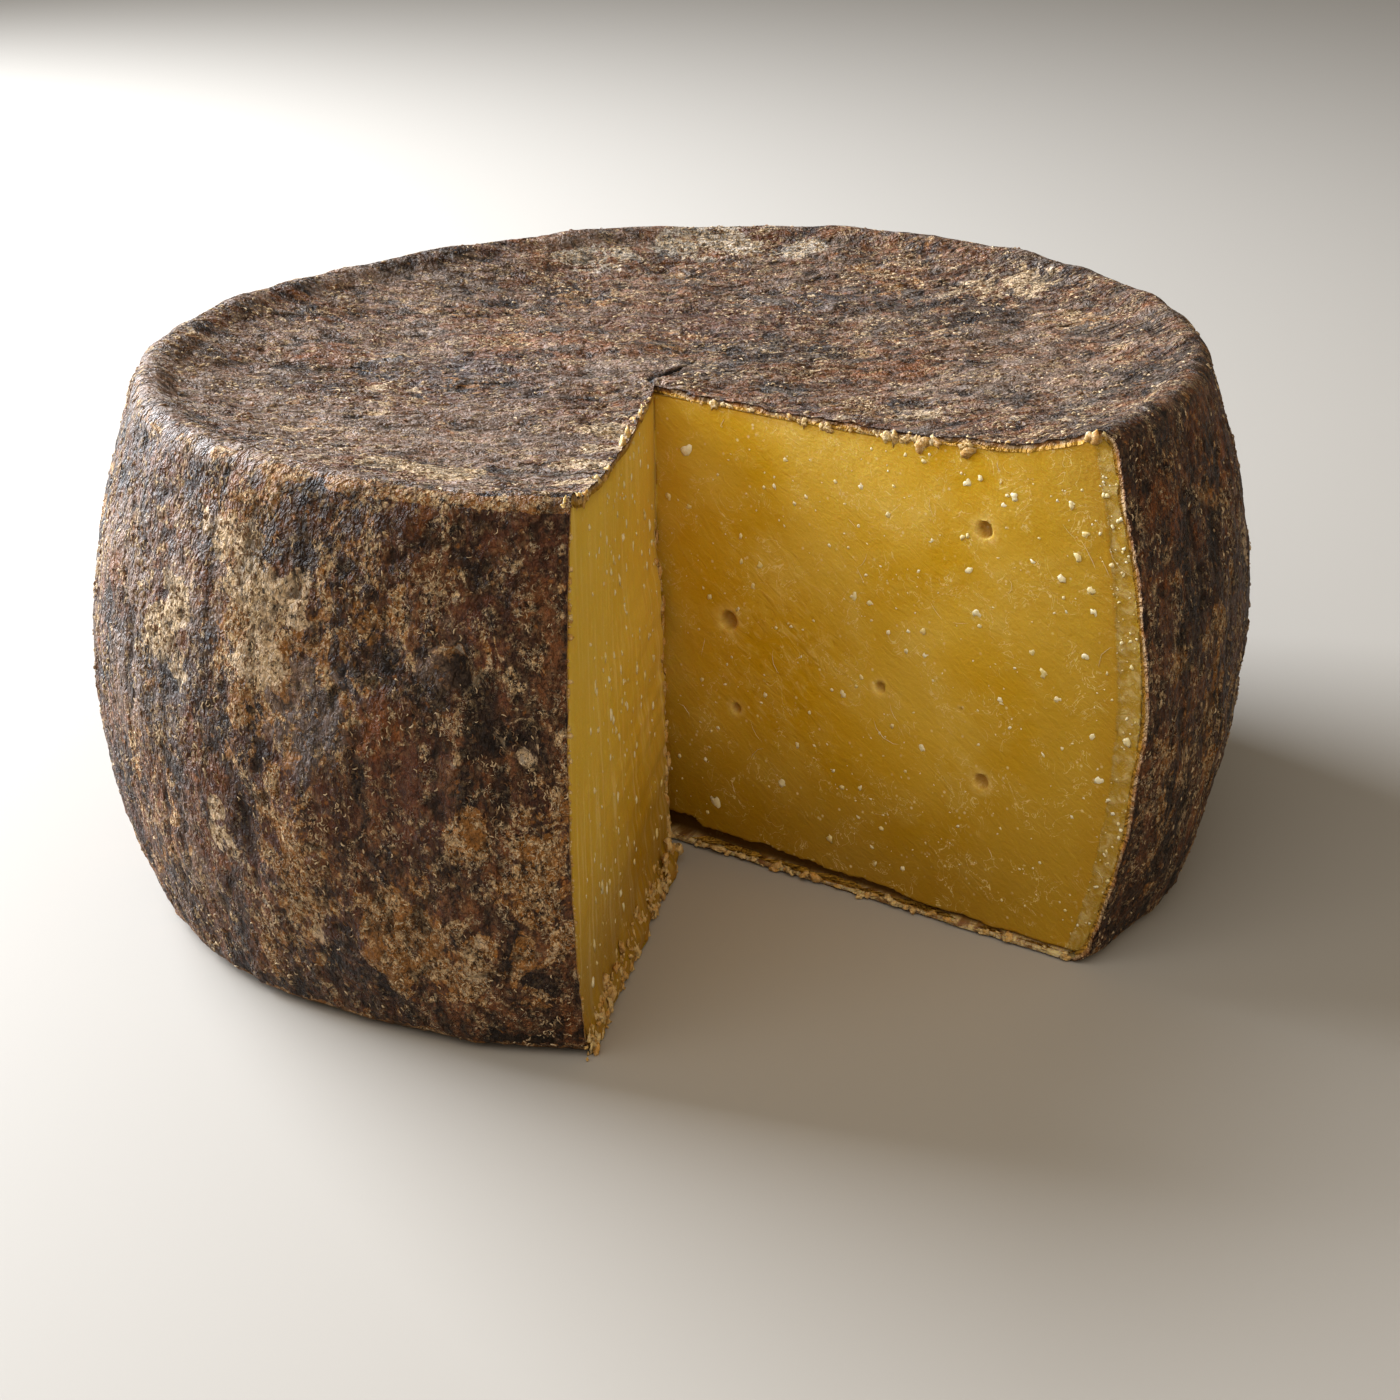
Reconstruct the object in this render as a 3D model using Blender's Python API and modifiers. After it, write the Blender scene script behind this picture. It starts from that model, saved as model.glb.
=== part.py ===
"""A round mountain cheese standing on its flat underside, with one wedge cut out of it.

One closed solid: a bulging, slightly oval wheel with a dished top and a craggy rind, less a cutter
whose walls are the two cut faces. Metres, +Z up, origin under the middle of the bounding box.
"""

import math

import bmesh
import bpy
from mathutils import Matrix, Vector, noise

# The turned wheel.
WHEEL_RADIUS = 0.180            # mean radius at the waist
WHEEL_HEIGHT = 0.1635           # at the rim of the top
WAIST_HEIGHT = 0.083            # where the side is widest
TOP_RADIUS = 0.163              # of the side, carried up to the rim
BOTTOM_RADIUS = 0.1655          # of the side, carried down to the board
TOP_BULGE = 1.6                 # power of the side's curve above the waist
BOTTOM_BULGE = 2.45             # and below it
TOP_CORNER = 0.0055
BOTTOM_CORNER = 0.006
DISH_DEPTH = 0.0135             # of the middle of the top below its rim
DISH_POWER = 4                  # how late the dish rises towards the rim
AXIS = Vector((0.0020, -0.0032, 0.0))    # the wheel's axis, so that the origin is under the box's middle

# How the wheel strays from round: an oval and a gentle third lobe, as shares of the radius.
OVAL_SHARE = 0.041
OVAL_ANGLE = math.radians(38.2)
LOBE_SHARE = 0.0113
LOBE_ANGLE = math.radians(-45.0)

# The rind's relief: upright folds on the side, crags everywhere, all in metres.
FOLD_WIDTH = 0.026
FOLD_LENGTH = 0.095
FOLD_DEPTH = 0.0012
CRAG_SIZE = 0.021
CRAG_DEPTH = 0.0014
SWELL_SIZE = 0.085
SWELL_DEPTH = 0.0010
FLAT_MARGIN = 0.004             # height over which the relief fades in above the underside
CRAG_FLOOR = -0.3               # hollows between the crags go no deeper than this share
CRAG_SEED = Vector((7.3, 1.9, 4.1))
SWELL_SEED = Vector((2.2, 8.4, 6.7))

# Mesh steps.
TURN_STEPS = 120
SIDE_ROWS = 20
CORNER_STEPS = 3
MERGE_DISTANCE = 0.0001         # joins the turned wheel's first and last columns
TOP_RINGS = (0.022, 0.045, 0.068, 0.091, 0.112, 0.129, 0.142, 0.151)

# The missing wedge, measured from the axis. Its inner edge and the left face's outer edge both lean.
EDGE_TOP = Vector((-0.0090, -0.0072))
EDGE_BOTTOM = Vector((-0.0080, -0.0147))
LEFT_OUTER_TOP = Vector((-0.0308, -0.1650))
LEFT_OUTER_BOTTOM = Vector((-0.0291, -0.1680))
RIGHT_ANGLE = math.radians(323.3)
CUT_REACH = 0.25                # past the rind
CUT_BELOW = 0.004               # the cutter's reach under the wheel
CUT_ABOVE = 0.008               # and over its rim

# The torn foot of the left face: it stops short of the right face, with a pocket behind it.
TORN_HEIGHT = 0.112
TORN_REACH = 0.025
TORN_BULGE = 0.0070             # how far the torn edge leans out over the gap
TORN_ROUGHNESS = 0.0012
TORN_STEP = 0.006
TORN_SEED = 3.7
TORN_FADE = 6.0                 # how fast the roughness sets in below TORN_HEIGHT
POCKET_DEPTH = 0.0035
POCKET_FADE = 3.0

# The foot of the right face: the paste is recessed above a strip of rind that sticks out.
STRIP_HEIGHT = 0.0024
STRIP_STEP = 0.0002             # the height in which the strip's upper side steps back
STRIP_REACH = 0.0015
RECESS_HEIGHT = 0.0080
RECESS_DEPTH = 0.0022
RECESS_ROWS = (0.007, 0.010)    # heights between which the recess runs out to the face
RECESS_END = 0.085              # along the face, where the recess has run out

FACE_WAVE = 0.0006              # the knife's wander in the two faces
FACE_WAVE_SIZE = 0.035
LEFT_SEED = 0.0
RIGHT_SEED = 5.0
FACE_STEPS = 8
FIRST_STEP = 0.012              # from a face's inner edge to its first column
STEP_GROWTH = 1.8
CUT_ROWS = 19

# Eyes in the right face: along it from the edge line, height, diameter.
EYES = (
    (0.1202, 0.1276, 0.0058),
    (0.0283, 0.0800, 0.0066),
    (0.0848, 0.0708, 0.0042),
    (0.0308, 0.0512, 0.0040),
    (0.1210, 0.0493, 0.0054),
)
EYE_SINK = 0.25                 # how far an eye's centre lies behind the face, in its radii
EYE_SUBDIVISIONS = 2

# The nick that the knife left past the wedge's tip.
NICK_LENGTH = 0.0095
NICK_WIDTH = 0.0042
NICK_DEPTH = 0.0045
NICK_TURN = math.radians(28.0)
NICK_PLACE = 0.45               # of its middle past the tip, as a share of its length
NICK_SIDES = 6
NICK_FOOT = 0.05                # radii of its foot and mouth, as shares of its length and width
NICK_MOUTH = 0.7

RIND_COLOR = (0.16, 0.10, 0.065)
RIND_ROUGHNESS = 0.85
PASTE_COLOR = (0.62, 0.42, 0.09)
PASTE_ROUGHNESS = 0.45
PASTE_SLOT = 1                  # of the cut faces among the wheel's materials


def clear_scene():
    for item in list(bpy.data.objects):
        bpy.data.objects.remove(item, do_unlink=True)


def make_collection(name):
    group = bpy.data.collections.new(name)
    bpy.context.scene.collection.children.link(group)
    return group


def make_material(name, color, roughness):
    material = bpy.data.materials.new(name)
    material.use_nodes = True
    shader = material.node_tree.nodes["Principled BSDF"]
    shader.inputs["Base Color"].default_value = (*color, 1.0)
    shader.inputs["Roughness"].default_value = roughness
    shader.inputs["Metallic"].default_value = 0.0
    material.diffuse_color = (*color, 1.0)
    return material


def clamp(share):
    return min(max(share, 0.0), 1.0)


def side_radius(height):
    """The side's radius at a height, before its corners are rounded."""
    if height > WAIST_HEIGHT:
        share = (height - WAIST_HEIGHT) / (WHEEL_HEIGHT - WAIST_HEIGHT)
        return WHEEL_RADIUS - (WHEEL_RADIUS - TOP_RADIUS) * share ** TOP_BULGE
    share = (WAIST_HEIGHT - height) / WAIST_HEIGHT
    return WHEEL_RADIUS - (WHEEL_RADIUS - BOTTOM_RADIUS) * share ** BOTTOM_BULGE


def top_height(radius):
    return WHEEL_HEIGHT - DISH_DEPTH * (1.0 - clamp(radius / TOP_RADIUS) ** DISH_POWER)


def wheel_profile():
    """(radius, height) from the middle of the top, over the rim and down the side, to the middle below."""
    points = [(0.0, top_height(0.0))]
    points += [(radius, top_height(radius)) for radius in TOP_RINGS]
    for step in range(CORNER_STEPS + 1):
        turn = math.pi / 2 * step / CORNER_STEPS
        height = WHEEL_HEIGHT - TOP_CORNER * (1.0 - math.cos(turn))
        points.append((side_radius(height) - TOP_CORNER * (1.0 - math.sin(turn)), height))
    top = WHEEL_HEIGHT - TOP_CORNER
    for row in range(1, SIDE_ROWS):
        height = top + (BOTTOM_CORNER - top) * row / SIDE_ROWS
        points.append((side_radius(height), height))
    for step in range(CORNER_STEPS + 1):
        turn = math.pi / 2 * step / CORNER_STEPS
        height = BOTTOM_CORNER * (1.0 - math.sin(turn))
        points.append((side_radius(height) - BOTTOM_CORNER * (1.0 - math.cos(turn)), height))
    points.append((0.0, 0.0))
    return points


def lobe_factor(angle):
    oval = OVAL_SHARE * math.cos(2.0 * (angle - OVAL_ANGLE))
    lobe = LOBE_SHARE * math.cos(3.0 * (angle - LOBE_ANGLE))
    return 1.0 + oval + lobe


def relief(point):
    """How far the rind stands out at a point measured from the wheel's axis."""
    folds = noise.noise(Vector((point.x / FOLD_WIDTH, point.y / FOLD_WIDTH, point.z / FOLD_LENGTH)))
    crags = noise.noise(point / CRAG_SIZE + CRAG_SEED)
    swell = noise.noise(point / SWELL_SIZE + SWELL_SEED)
    side = clamp((WHEEL_HEIGHT - TOP_CORNER - point.z) / TOP_CORNER)
    return FOLD_DEPTH * folds * side + CRAG_DEPTH * max(crags, CRAG_FLOOR) + SWELL_DEPTH * swell


def shape_rind(mesh):
    """Makes the turned wheel oval and lobed, and raises its relief along the surface's own normals."""
    places = []
    for vertex in mesh.vertices:
        point = vertex.co.copy()
        factor = lobe_factor(math.atan2(point.y, point.x))
        oval = Vector((point.x * factor, point.y * factor, point.z))
        places.append(oval + vertex.normal * relief(oval) * clamp(point.z / FLAT_MARGIN))
    for vertex, place in zip(mesh.vertices, places):
        vertex.co = place


def make_wheel(group, materials):
    """A Screw of the profile, made a mesh so that its rind can be shaped."""
    mesh = bpy.data.meshes.new("wheel_profile")
    points = wheel_profile()
    mesh.from_pydata([(x, 0.0, z) for x, z in points], [(i, i + 1) for i in range(len(points) - 1)], [])
    wheel = bpy.data.objects.new("cheese_wheel", mesh)
    group.objects.link(wheel)
    screw = wheel.modifiers.new("turn", "SCREW")
    screw.steps = TURN_STEPS
    screw.render_steps = TURN_STEPS
    screw.use_merge_vertices = True
    screw.merge_threshold = MERGE_DISTANCE
    apply_modifiers(wheel)
    for material in materials:
        wheel.data.materials.append(material)
    shape_rind(wheel.data)
    return wheel


def apply_modifiers(item):
    evaluated = item.evaluated_get(bpy.context.evaluated_depsgraph_get())
    mesh = bpy.data.meshes.new_from_object(evaluated)
    mesh.name = item.name
    item.modifiers.clear()
    old = item.data
    item.data = mesh
    bpy.data.meshes.remove(old)


def direction(angle):
    return Vector((math.cos(angle), math.sin(angle)))


def edge_line(height):
    return EDGE_BOTTOM.lerp(EDGE_TOP, height / WHEEL_HEIGHT)


def left_outer_line(height):
    return LEFT_OUTER_BOTTOM.lerp(LEFT_OUTER_TOP, height / WHEEL_HEIGHT)


def knife_wave(place, height, seed):
    point = Vector((place.x, place.y, height)) / FACE_WAVE_SIZE
    return FACE_WAVE * noise.noise(point + Vector((seed, 0.0, 0.0)))


def foot_offset(along, height):
    """How far the right face's foot stands into the gap: a strip of rind, and a recess above it."""
    if height < STRIP_HEIGHT:
        return STRIP_REACH
    return -RECESS_DEPTH * clamp(1.0 - along / RECESS_END) if height < RECESS_HEIGHT else 0.0


def cut_row(height):
    """The gap's outline at one height: in along the left face, round the torn edge, out along the right."""
    tip = edge_line(height)
    torn = clamp(1.0 - height / TORN_HEIGHT)
    right = direction(RIGHT_ANGLE)
    into_gap = Vector((right.y, -right.x))
    roughness = TORN_ROUGHNESS * noise.noise(Vector((height / TORN_STEP, TORN_SEED, 0.0)))
    across = Vector((TORN_BULGE * torn + roughness * clamp(TORN_FADE * torn), 0.0))
    left = (left_outer_line(height) - tip).normalized()
    corner = tip + left * TORN_REACH * torn + across
    left = (left_outer_line(height) - corner).normalized()
    row = []
    for step in range(FACE_STEPS):
        along = CUT_REACH + (FIRST_STEP - CUT_REACH) * (step / (FACE_STEPS - 1)) ** (1.0 / STEP_GROWTH)
        place = corner + left * along
        row.append(place + Vector((knife_wave(place, height, LEFT_SEED), 0.0)))
    row.append(corner)
    row.append(tip - right * POCKET_DEPTH * clamp(POCKET_FADE * torn))
    for step in range(FACE_STEPS):
        along = FIRST_STEP + (CUT_REACH - FIRST_STEP) * (step / (FACE_STEPS - 1)) ** STEP_GROWTH
        place = tip + right * along
        row.append(place + into_gap * (foot_offset(along, height) + knife_wave(place, height, RIGHT_SEED)))
    return [Vector((place.x, place.y, height)) for place in row]


def make_wedge_cutter(group, materials):
    """A loft of the gap's outline from below the underside to above the rim."""
    heights = [-CUT_BELOW, STRIP_HEIGHT - STRIP_STEP, STRIP_HEIGHT, *RECESS_ROWS]
    first = heights[-1]
    above = WHEEL_HEIGHT + CUT_ABOVE
    heights += [first + (above - first) * row / CUT_ROWS for row in range(1, CUT_ROWS + 1)]
    shape = bmesh.new()
    rings = [[shape.verts.new(place) for place in cut_row(height)] for height in heights]
    count = len(rings[0])
    for lower, upper in zip(rings, rings[1:]):
        for here in range(count):
            after = (here + 1) % count
            shape.faces.new((lower[here], lower[after], upper[after], upper[here]))
    shape.faces.new(list(reversed(rings[0])))
    shape.faces.new(rings[-1])
    bmesh.ops.triangulate(shape, faces=shape.faces)
    bmesh.ops.recalc_face_normals(shape, faces=shape.faces)
    return add_cutter(group, "wedge_cutter", shape, materials)


def make_eye_cutters(group, materials):
    """Round gas holes, each a sphere set a little behind the right face."""
    right = direction(RIGHT_ANGLE)
    behind = Vector((-right.y, right.x))
    cutters = []
    for number, (along, height, diameter) in enumerate(EYES, 1):
        centre = edge_line(height) + right * along + behind * diameter / 2 * EYE_SINK
        shape = bmesh.new()
        place = Matrix.Translation((centre.x, centre.y, height))
        bmesh.ops.create_icosphere(shape, subdivisions=EYE_SUBDIVISIONS, radius=diameter / 2, matrix=place)
        cutters.append(add_cutter(group, f"eye_cutter_{number}", shape, materials))
    return cutters


def make_nick_cutter(group, materials):
    """A small upright spike that opens the rind just past the wedge's tip."""
    shape = bmesh.new()
    ahead = (EDGE_TOP - LEFT_OUTER_TOP).normalized()
    centre = EDGE_TOP + ahead * NICK_LENGTH * NICK_PLACE
    place = Matrix.Translation((centre.x, centre.y, top_height(0.0)))
    place @= Matrix.Rotation(NICK_TURN, 4, "Z")
    place @= Matrix.Diagonal((NICK_WIDTH, NICK_LENGTH, NICK_DEPTH * 2, 1.0))
    bmesh.ops.create_cone(
        shape, cap_ends=True, segments=NICK_SIDES, radius1=NICK_FOOT, radius2=NICK_MOUTH, depth=1.0, matrix=place
    )
    return add_cutter(group, "nick_cutter", shape, materials)


def add_cutter(group, name, shape, materials):
    mesh = bpy.data.meshes.new(name)
    shape.to_mesh(mesh)
    shape.free()
    for material in materials:
        mesh.materials.append(material)
    for face in mesh.polygons:
        face.material_index = PASTE_SLOT
    cutter = bpy.data.objects.new(name, mesh)
    cutter.hide_render = True
    cutter.display_type = "WIRE"
    group.objects.link(cutter)
    return cutter


def cut(item, cutter):
    boolean = item.modifiers.new("cut_" + cutter.name, "BOOLEAN")
    boolean.operation = "DIFFERENCE"
    boolean.solver = "EXACT"
    boolean.object = cutter


def main():
    clear_scene()
    cheese = make_collection("mountain_cheese")
    cutters = make_collection("cutters")
    rind = make_material("rind", RIND_COLOR, RIND_ROUGHNESS)
    paste = make_material("paste", PASTE_COLOR, PASTE_ROUGHNESS)
    materials = (rind, paste)
    wheel = make_wheel(cheese, materials)
    cut(wheel, make_wedge_cutter(cutters, materials))
    cut(wheel, make_nick_cutter(cutters, materials))
    for cutter in make_eye_cutters(cutters, materials):
        cut(wheel, cutter)
    for item in (wheel, *cutters.objects):
        item.location = AXIS
    bpy.context.view_layer.update()


main()
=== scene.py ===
"""The looks of a mountain cheese wheel with a wedge cut out: craggy rind, cut paste, crystals, crumbs."""

import math

import bmesh
import bpy
import numpy as np
from mathutils import Matrix, Vector, noise


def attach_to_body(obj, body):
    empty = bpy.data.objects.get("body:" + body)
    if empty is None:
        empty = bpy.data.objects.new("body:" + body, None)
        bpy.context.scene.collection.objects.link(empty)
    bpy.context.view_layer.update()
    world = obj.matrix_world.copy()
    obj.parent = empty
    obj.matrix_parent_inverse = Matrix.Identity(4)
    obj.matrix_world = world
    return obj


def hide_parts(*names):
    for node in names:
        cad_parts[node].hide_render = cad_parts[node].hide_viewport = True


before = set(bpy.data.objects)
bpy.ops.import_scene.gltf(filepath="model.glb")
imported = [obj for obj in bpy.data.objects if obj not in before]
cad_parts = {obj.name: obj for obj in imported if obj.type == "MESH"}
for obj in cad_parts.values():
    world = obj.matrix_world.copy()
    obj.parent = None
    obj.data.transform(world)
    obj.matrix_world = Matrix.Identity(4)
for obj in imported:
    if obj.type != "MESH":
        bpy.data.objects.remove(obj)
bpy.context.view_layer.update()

NODE = "cheese_wheel"
BODY = "root"
MM = 0.001
UP = np.array([0.0, 0.0, 1.0])

# ---------------------------------------------------------------- the wheel, as the solid has it
WHEEL_RADIUS = 0.180
WHEEL_HEIGHT = 0.1635
WAIST_HEIGHT = 0.083
TOP_RADIUS = 0.163
BOTTOM_RADIUS = 0.1655
TOP_BULGE = 1.6
BOTTOM_BULGE = 2.45
TOP_CORNER = 0.0038             # a little crisper than the solid's
BOTTOM_CORNER = 0.006
DISH_DEPTH = 0.0135
DISH_POWER = 4
RIM_INNER = 0.151               # where the dish has risen to the rim's inner foot
AXIS = np.array([0.0020, -0.0032])
OVAL_SHARE = 0.041
OVAL_ANGLE = math.radians(38.2)
LOBE_SHARE = 0.0113
LOBE_ANGLE = math.radians(-45.0)
FOLD_SIZE = (0.026, 0.026, 0.095)
FOLD_DEPTH = 0.0012
CRAG_SIZE = 0.021
CRAG_DEPTH = 0.0014
SWELL_SIZE = 0.085
SWELL_DEPTH = 0.0010
FLAT_MARGIN = 0.004             # over this height the relief grows from nothing at the flat underside
EDGE_TOP = np.array([-0.0090, -0.0072])
EDGE_BOTTOM = np.array([-0.0080, -0.0147])
LEFT_OUTER_TOP = np.array([-0.0308, -0.1650])
LEFT_OUTER_BOTTOM = np.array([-0.0291, -0.1680])
RIGHT_ANGLE = math.radians(323.3)
TORN_HEIGHT = 0.112
TORN_REACH = 0.025
TORN_BULGE = 0.0070
TORN_ROUGHNESS = 0.0012
TORN_STEP = 0.006
TORN_START = 0.0008
BEND_FADE = 14.0                # how fast the underside's columns straighten away from the torn corner
POCKET_DEPTH = 0.0035
FACE_WAVE = 0.0006
FACE_WAVE_SIZE = 0.035
RIGHT_WAVE, LEFT_WAVE = 5.0, 0.0    # where each cut face reads the noise of its waves
STRIP_HEIGHT = 0.0024
STRIP_REACH = 0.0015
RECESS_HEIGHT = 0.0080
RECESS_DEPTH = 0.0042           # deeper than the solid's, as a crack
RECESS_END = 0.085
# Gas holes on the right face: along it from the wedge's tip, height, diameter.
EYES = (
    (0.1202, 0.1276, 0.0058), (0.0283, 0.0800, 0.0066), (0.0848, 0.0708, 0.0042), (0.0308, 0.0512, 0.0040),
    (0.1210, 0.0493, 0.0054), (0.1135, 0.0707, 0.0018), (0.1361, 0.0512, 0.0011), (0.1335, 0.0454, 0.0010),
)
EYE_SINK = 0.25
EYE_STEP = 0.00034              # points this near to a hole's mouth are moved onto it
SMEAR_PLACE = (0.047, 0.076)    # where the knife has smeared the paste most: along the right face, height
SMEAR_SIZE = (0.030, 0.034)
SMEAR_ANGLE = math.radians(-38.0)
FACT_REACH = 0.02               # the paste's material knows distances up to this one
# The glassy strip between a knife mark on the right face and the rind: heights, and its widths there.
KNIFE_HEIGHTS = np.array([0.0, 0.042, 0.100, 0.144, 0.160])
KNIFE_WIDTHS = np.array([0.0052, 0.0066, 0.0072, 0.0052, 0.0046])
NICK_LENGTH = 0.0095
NICK_WIDTH = 0.0042
NICK_DEPTH = 0.0032
NICK_PLACE = 0.42               # its middle lies this share of its length past the tip
NICK_TURN = math.radians(28.0)
# The gash and hairline crack that run on from the nick over the top: points and half widths.
GASH = np.array([
    [-0.0108, 0.0012], [-0.0062, 0.0062], [-0.0024, 0.0112], [0.0010, 0.0180], [0.0042, 0.0250],
])
GASH_WIDTHS = np.array([0.0018, 0.0024, 0.0015, 0.0007, 0.0003])
GASH_DEPTH = 0.0018

# ---------------------------------------------------------------- the skin of rind over the paste
RIND_DEPTH = 0.0024             # from the wheel's surface to the rind's inner side
RIND_INNER_ROUGHNESS = 0.0004
PASTE_INSET = 0.0017            # the paste's hidden outer side lies inside the rind
PASTE_FOOT = 0.0008
HIDDEN_FOOT = 0.0006
LIP_REACH = 0.00045             # the rind's cut edge stands this far out over the paste
LIP_ROUGHNESS = 0.0004
LIP_WIDTH = 0.0012
RIM_SMOOTHING = 0.60            # share of the fine relief that is worn off along the rim

# Crystals that stand out on the right face: along it from the wedge's tip, height, size.
CRYSTALS = np.array((
    (0.0119, 0.1325, 0.0034), (0.0050, 0.1154, 0.0030), (0.0128, 0.1140, 0.0019), (0.0210, 0.0865, 0.0018),
    (0.0331, 0.1005, 0.0018), (0.0403, 0.1007, 0.0016), (0.0376, 0.0930, 0.0017), (0.0322, 0.0846, 0.0016),
    (0.0421, 0.0587, 0.0020), (0.0486, 0.0304, 0.0019), (0.0497, 0.1361, 0.0016), (0.0544, 0.0446, 0.0017),
    (0.0592, 0.0565, 0.0017), (0.0680, 0.1323, 0.0017), (0.0715, 0.0656, 0.0018), (0.0748, 0.0976, 0.0022),
    (0.0810, 0.0967, 0.0018), (0.0773, 0.1328, 0.0020), (0.0780, 0.0727, 0.0017), (0.0784, 0.0364, 0.0018),
    (0.0670, 0.0166, 0.0028), (0.0870, 0.1260, 0.0018), (0.0996, 0.0919, 0.0023), (0.1008, 0.0849, 0.0018),
    (0.1003, 0.0547, 0.0019), (0.1021, 0.1207, 0.0016), (0.1153, 0.1141, 0.0024), (0.1181, 0.1018, 0.0024),
    (0.1143, 0.1406, 0.0022), (0.1183, 0.1425, 0.0018), (0.1265, 0.1363, 0.0020), (0.1301, 0.1394, 0.0021),
    (0.1372, 0.0940, 0.0020), (0.1415, 0.0882, 0.0026), (0.1460, 0.1180, 0.0024), (0.1464, 0.0816, 0.0022),
    (0.1486, 0.1405, 0.0021), (0.1512, 0.1257, 0.0022), (0.1538, 0.1327, 0.0024), (0.1547, 0.0964, 0.0022),
    (0.1564, 0.1169, 0.0025), (0.1570, 0.1105, 0.0023), (0.1580, 0.0727, 0.0024), (0.1608, 0.0597, 0.0024),
    (0.1693, 0.0736, 0.0022), (0.0227, 0.0172, 0.0034),
))
# Where crumbs lie thick under the top's edge: strength, place along the right face, width.
CRUMB_SPOTS = (
    (1.0, 0.063, 0.008), (0.9, 0.094, 0.012), (0.8, 0.115, 0.003), (0.9, 0.1555, 0.003), (0.5, 0.020, 0.006),
)
NEAR_TOP = 0.15
SMALL_CRYSTALS = 320
LEFT_CRYSTALS = 270
STRIP_CRYSTALS = 90
THREADS = 26
FLAKES_ON_SIDE = 11000
FLAKES_ON_TOP = 4200
FLAKE_LENGTH = 0.0025
FLAKE_WIDTH = 0.00046
SLIVER_RINGS = 5                # its two pointed ends, and rings of three points between them
LOWEST_POINT = 0.0002           # small things stay this far over the floor

# Mesh steps.
TURN_COLUMNS = 900
TOP_ROWS = 110
CORNER_ROWS = 9
SIDE_ROWS = 150
BOTTOM_ROWS = 16
RIGHT_COLUMNS = 270
LEFT_COLUMNS = 190
POCKET_COLUMNS = 14
FACE_ROWS = 270
INNER_STRIDES = (6, 4)          # the rind's inner side has one column and row in so many
HIDDEN_STRIDES = (6, 5)         # and the paste's hidden side

# ---------------------------------------------------------------- camera and lights
FRAME_PIXELS = 1400
FOCAL_PIXELS = 2800.0
CAMERA_BACK = 0.8522
CAMERA_HEIGHT = 0.391
CAMERA_YAW = 0.0061
CAMERA_PITCH = 0.3891
CAMERA_ROLL = -0.0032
SENSOR = 36.0
LIGHTS_AIM = (0.0, 0.0, 0.08)
# Each light's place, size, power in watts and colour.
LIGHTS = {
    "window": ((-1.24, 0.81, 0.74), (1.2, 1.1), 116.0, (0.88, 0.94, 1.02)),
    "room": ((-0.66, -1.12, 1.45), (1.8, 1.4), 15.0, (1.0, 0.96, 0.90)),
    "front": ((0.80, -1.38, 1.12), (1.8, 1.4), 8.6, (1.0, 0.85, 0.64)),
}
WORLD_COLOR = (1.0, 0.89, 0.72, 1.0)
WORLD_STRENGTH = 0.22
FLOOR_SIZE = 14.0


# ================================================================ colours
def linear(red, green, blue):
    """A colour given as it looks on a screen, 0 to 255, as linear light."""
    shares = np.array([red, green, blue]) / 255.0
    return np.where(shares <= 0.04045, shares / 12.92, ((shares + 0.055) / 1.055) ** 2.4)


BARK_DARK = linear(40, 24, 15)
BARK = linear(124, 75, 41)
BARK_RED = linear(98, 54, 34)
BARK_GREY = linear(146, 119, 101)
CREAM = linear(208, 178, 142)
RUST = linear(156, 88, 34)
BLUE_GREY = linear(88, 88, 92)
GOLD = linear(160, 104, 40)
MOULD = linear(190, 178, 162)
# Painted shade for the rind's gaps, pits and gash.
CREVICE_SHADE = linear(24, 16, 11)
FLOOR_COLOR = linear(166, 160, 152)


# ================================================================ noise
def value_noise(points, size, seed):
    """Smooth noise from -1 to 1 at points (..., 3), with features of a size in metres, one or three."""
    place = points / np.asarray(size) + seed * 17.31
    cell = np.floor(place).astype(np.int64)
    share = place - cell
    share = share ** 3 * (share * (share * 6.0 - 15.0) + 10.0)
    total = np.zeros(points.shape[:-1])
    for corner in range(8):
        # A number from -1 to 1 for each corner of the cell, by an integer hash.
        step = np.array([corner & 1, (corner >> 1) & 1, corner >> 2])
        key = ((cell + step) * np.array([73856093, 19349663, 83492791])).sum(axis=-1) + seed * 2654435761
        key = (key ^ (key >> 13)) * 1274126177
        key = ((key ^ (key >> 16)) & 0xFFFF) / 32767.5 - 1.0
        total += key * np.where(step == 1, share, 1.0 - share).prod(axis=-1)
    return total


def noise_vector(points, size, seed):
    return np.stack([value_noise(points, size, seed + part) for part in range(3)], axis=-1)


def layered_noise(points, size, seed, layers):
    total = 0.0
    for layer in range(layers):
        total = total + value_noise(points, np.asarray(size) / 2.0 ** layer, seed + layer) / 2.0 ** layer
    return total / (2.0 - 2.0 ** (1 - layers))


def ridges(points, size, seed):
    """Noise with sharp crests, from -1 to 1."""
    return 1.0 - 2.0 * np.abs(value_noise(points, size, seed)) ** 0.8


def solid_noise(points):
    """The solid's own low noise, so that the skin follows it."""
    flat = points.reshape(-1, 3)
    return np.array([noise.noise(Vector(point)) for point in flat]).reshape(points.shape[:-1])


def ramp(values, low, high):
    share = np.clip((values - low) / (high - low), 0.0, 1.0)
    return share * share * (3.0 - 2.0 * share)


# ================================================================ the wheel's shape
def direction(angle):
    return np.stack([np.cos(angle), np.sin(angle)], axis=-1)


def unit(vectors):
    return vectors / np.linalg.norm(vectors, axis=-1, keepdims=True)


def quarter_turn(way):
    """A plan direction turned by 90 degrees to the left."""
    return np.stack([-way[..., 1], way[..., 0]], axis=-1)


def with_height(plan, height):
    return np.concatenate([plan, height[..., None]], axis=-1)


def plan_angle(points):
    return np.arctan2(points[..., 1], points[..., 0])


def lobe_factor(angle):
    oval = OVAL_SHARE * np.cos(2.0 * (angle - OVAL_ANGLE))
    lobe = LOBE_SHARE * np.cos(3.0 * (angle - LOBE_ANGLE))
    return 1.0 + oval + lobe


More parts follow.
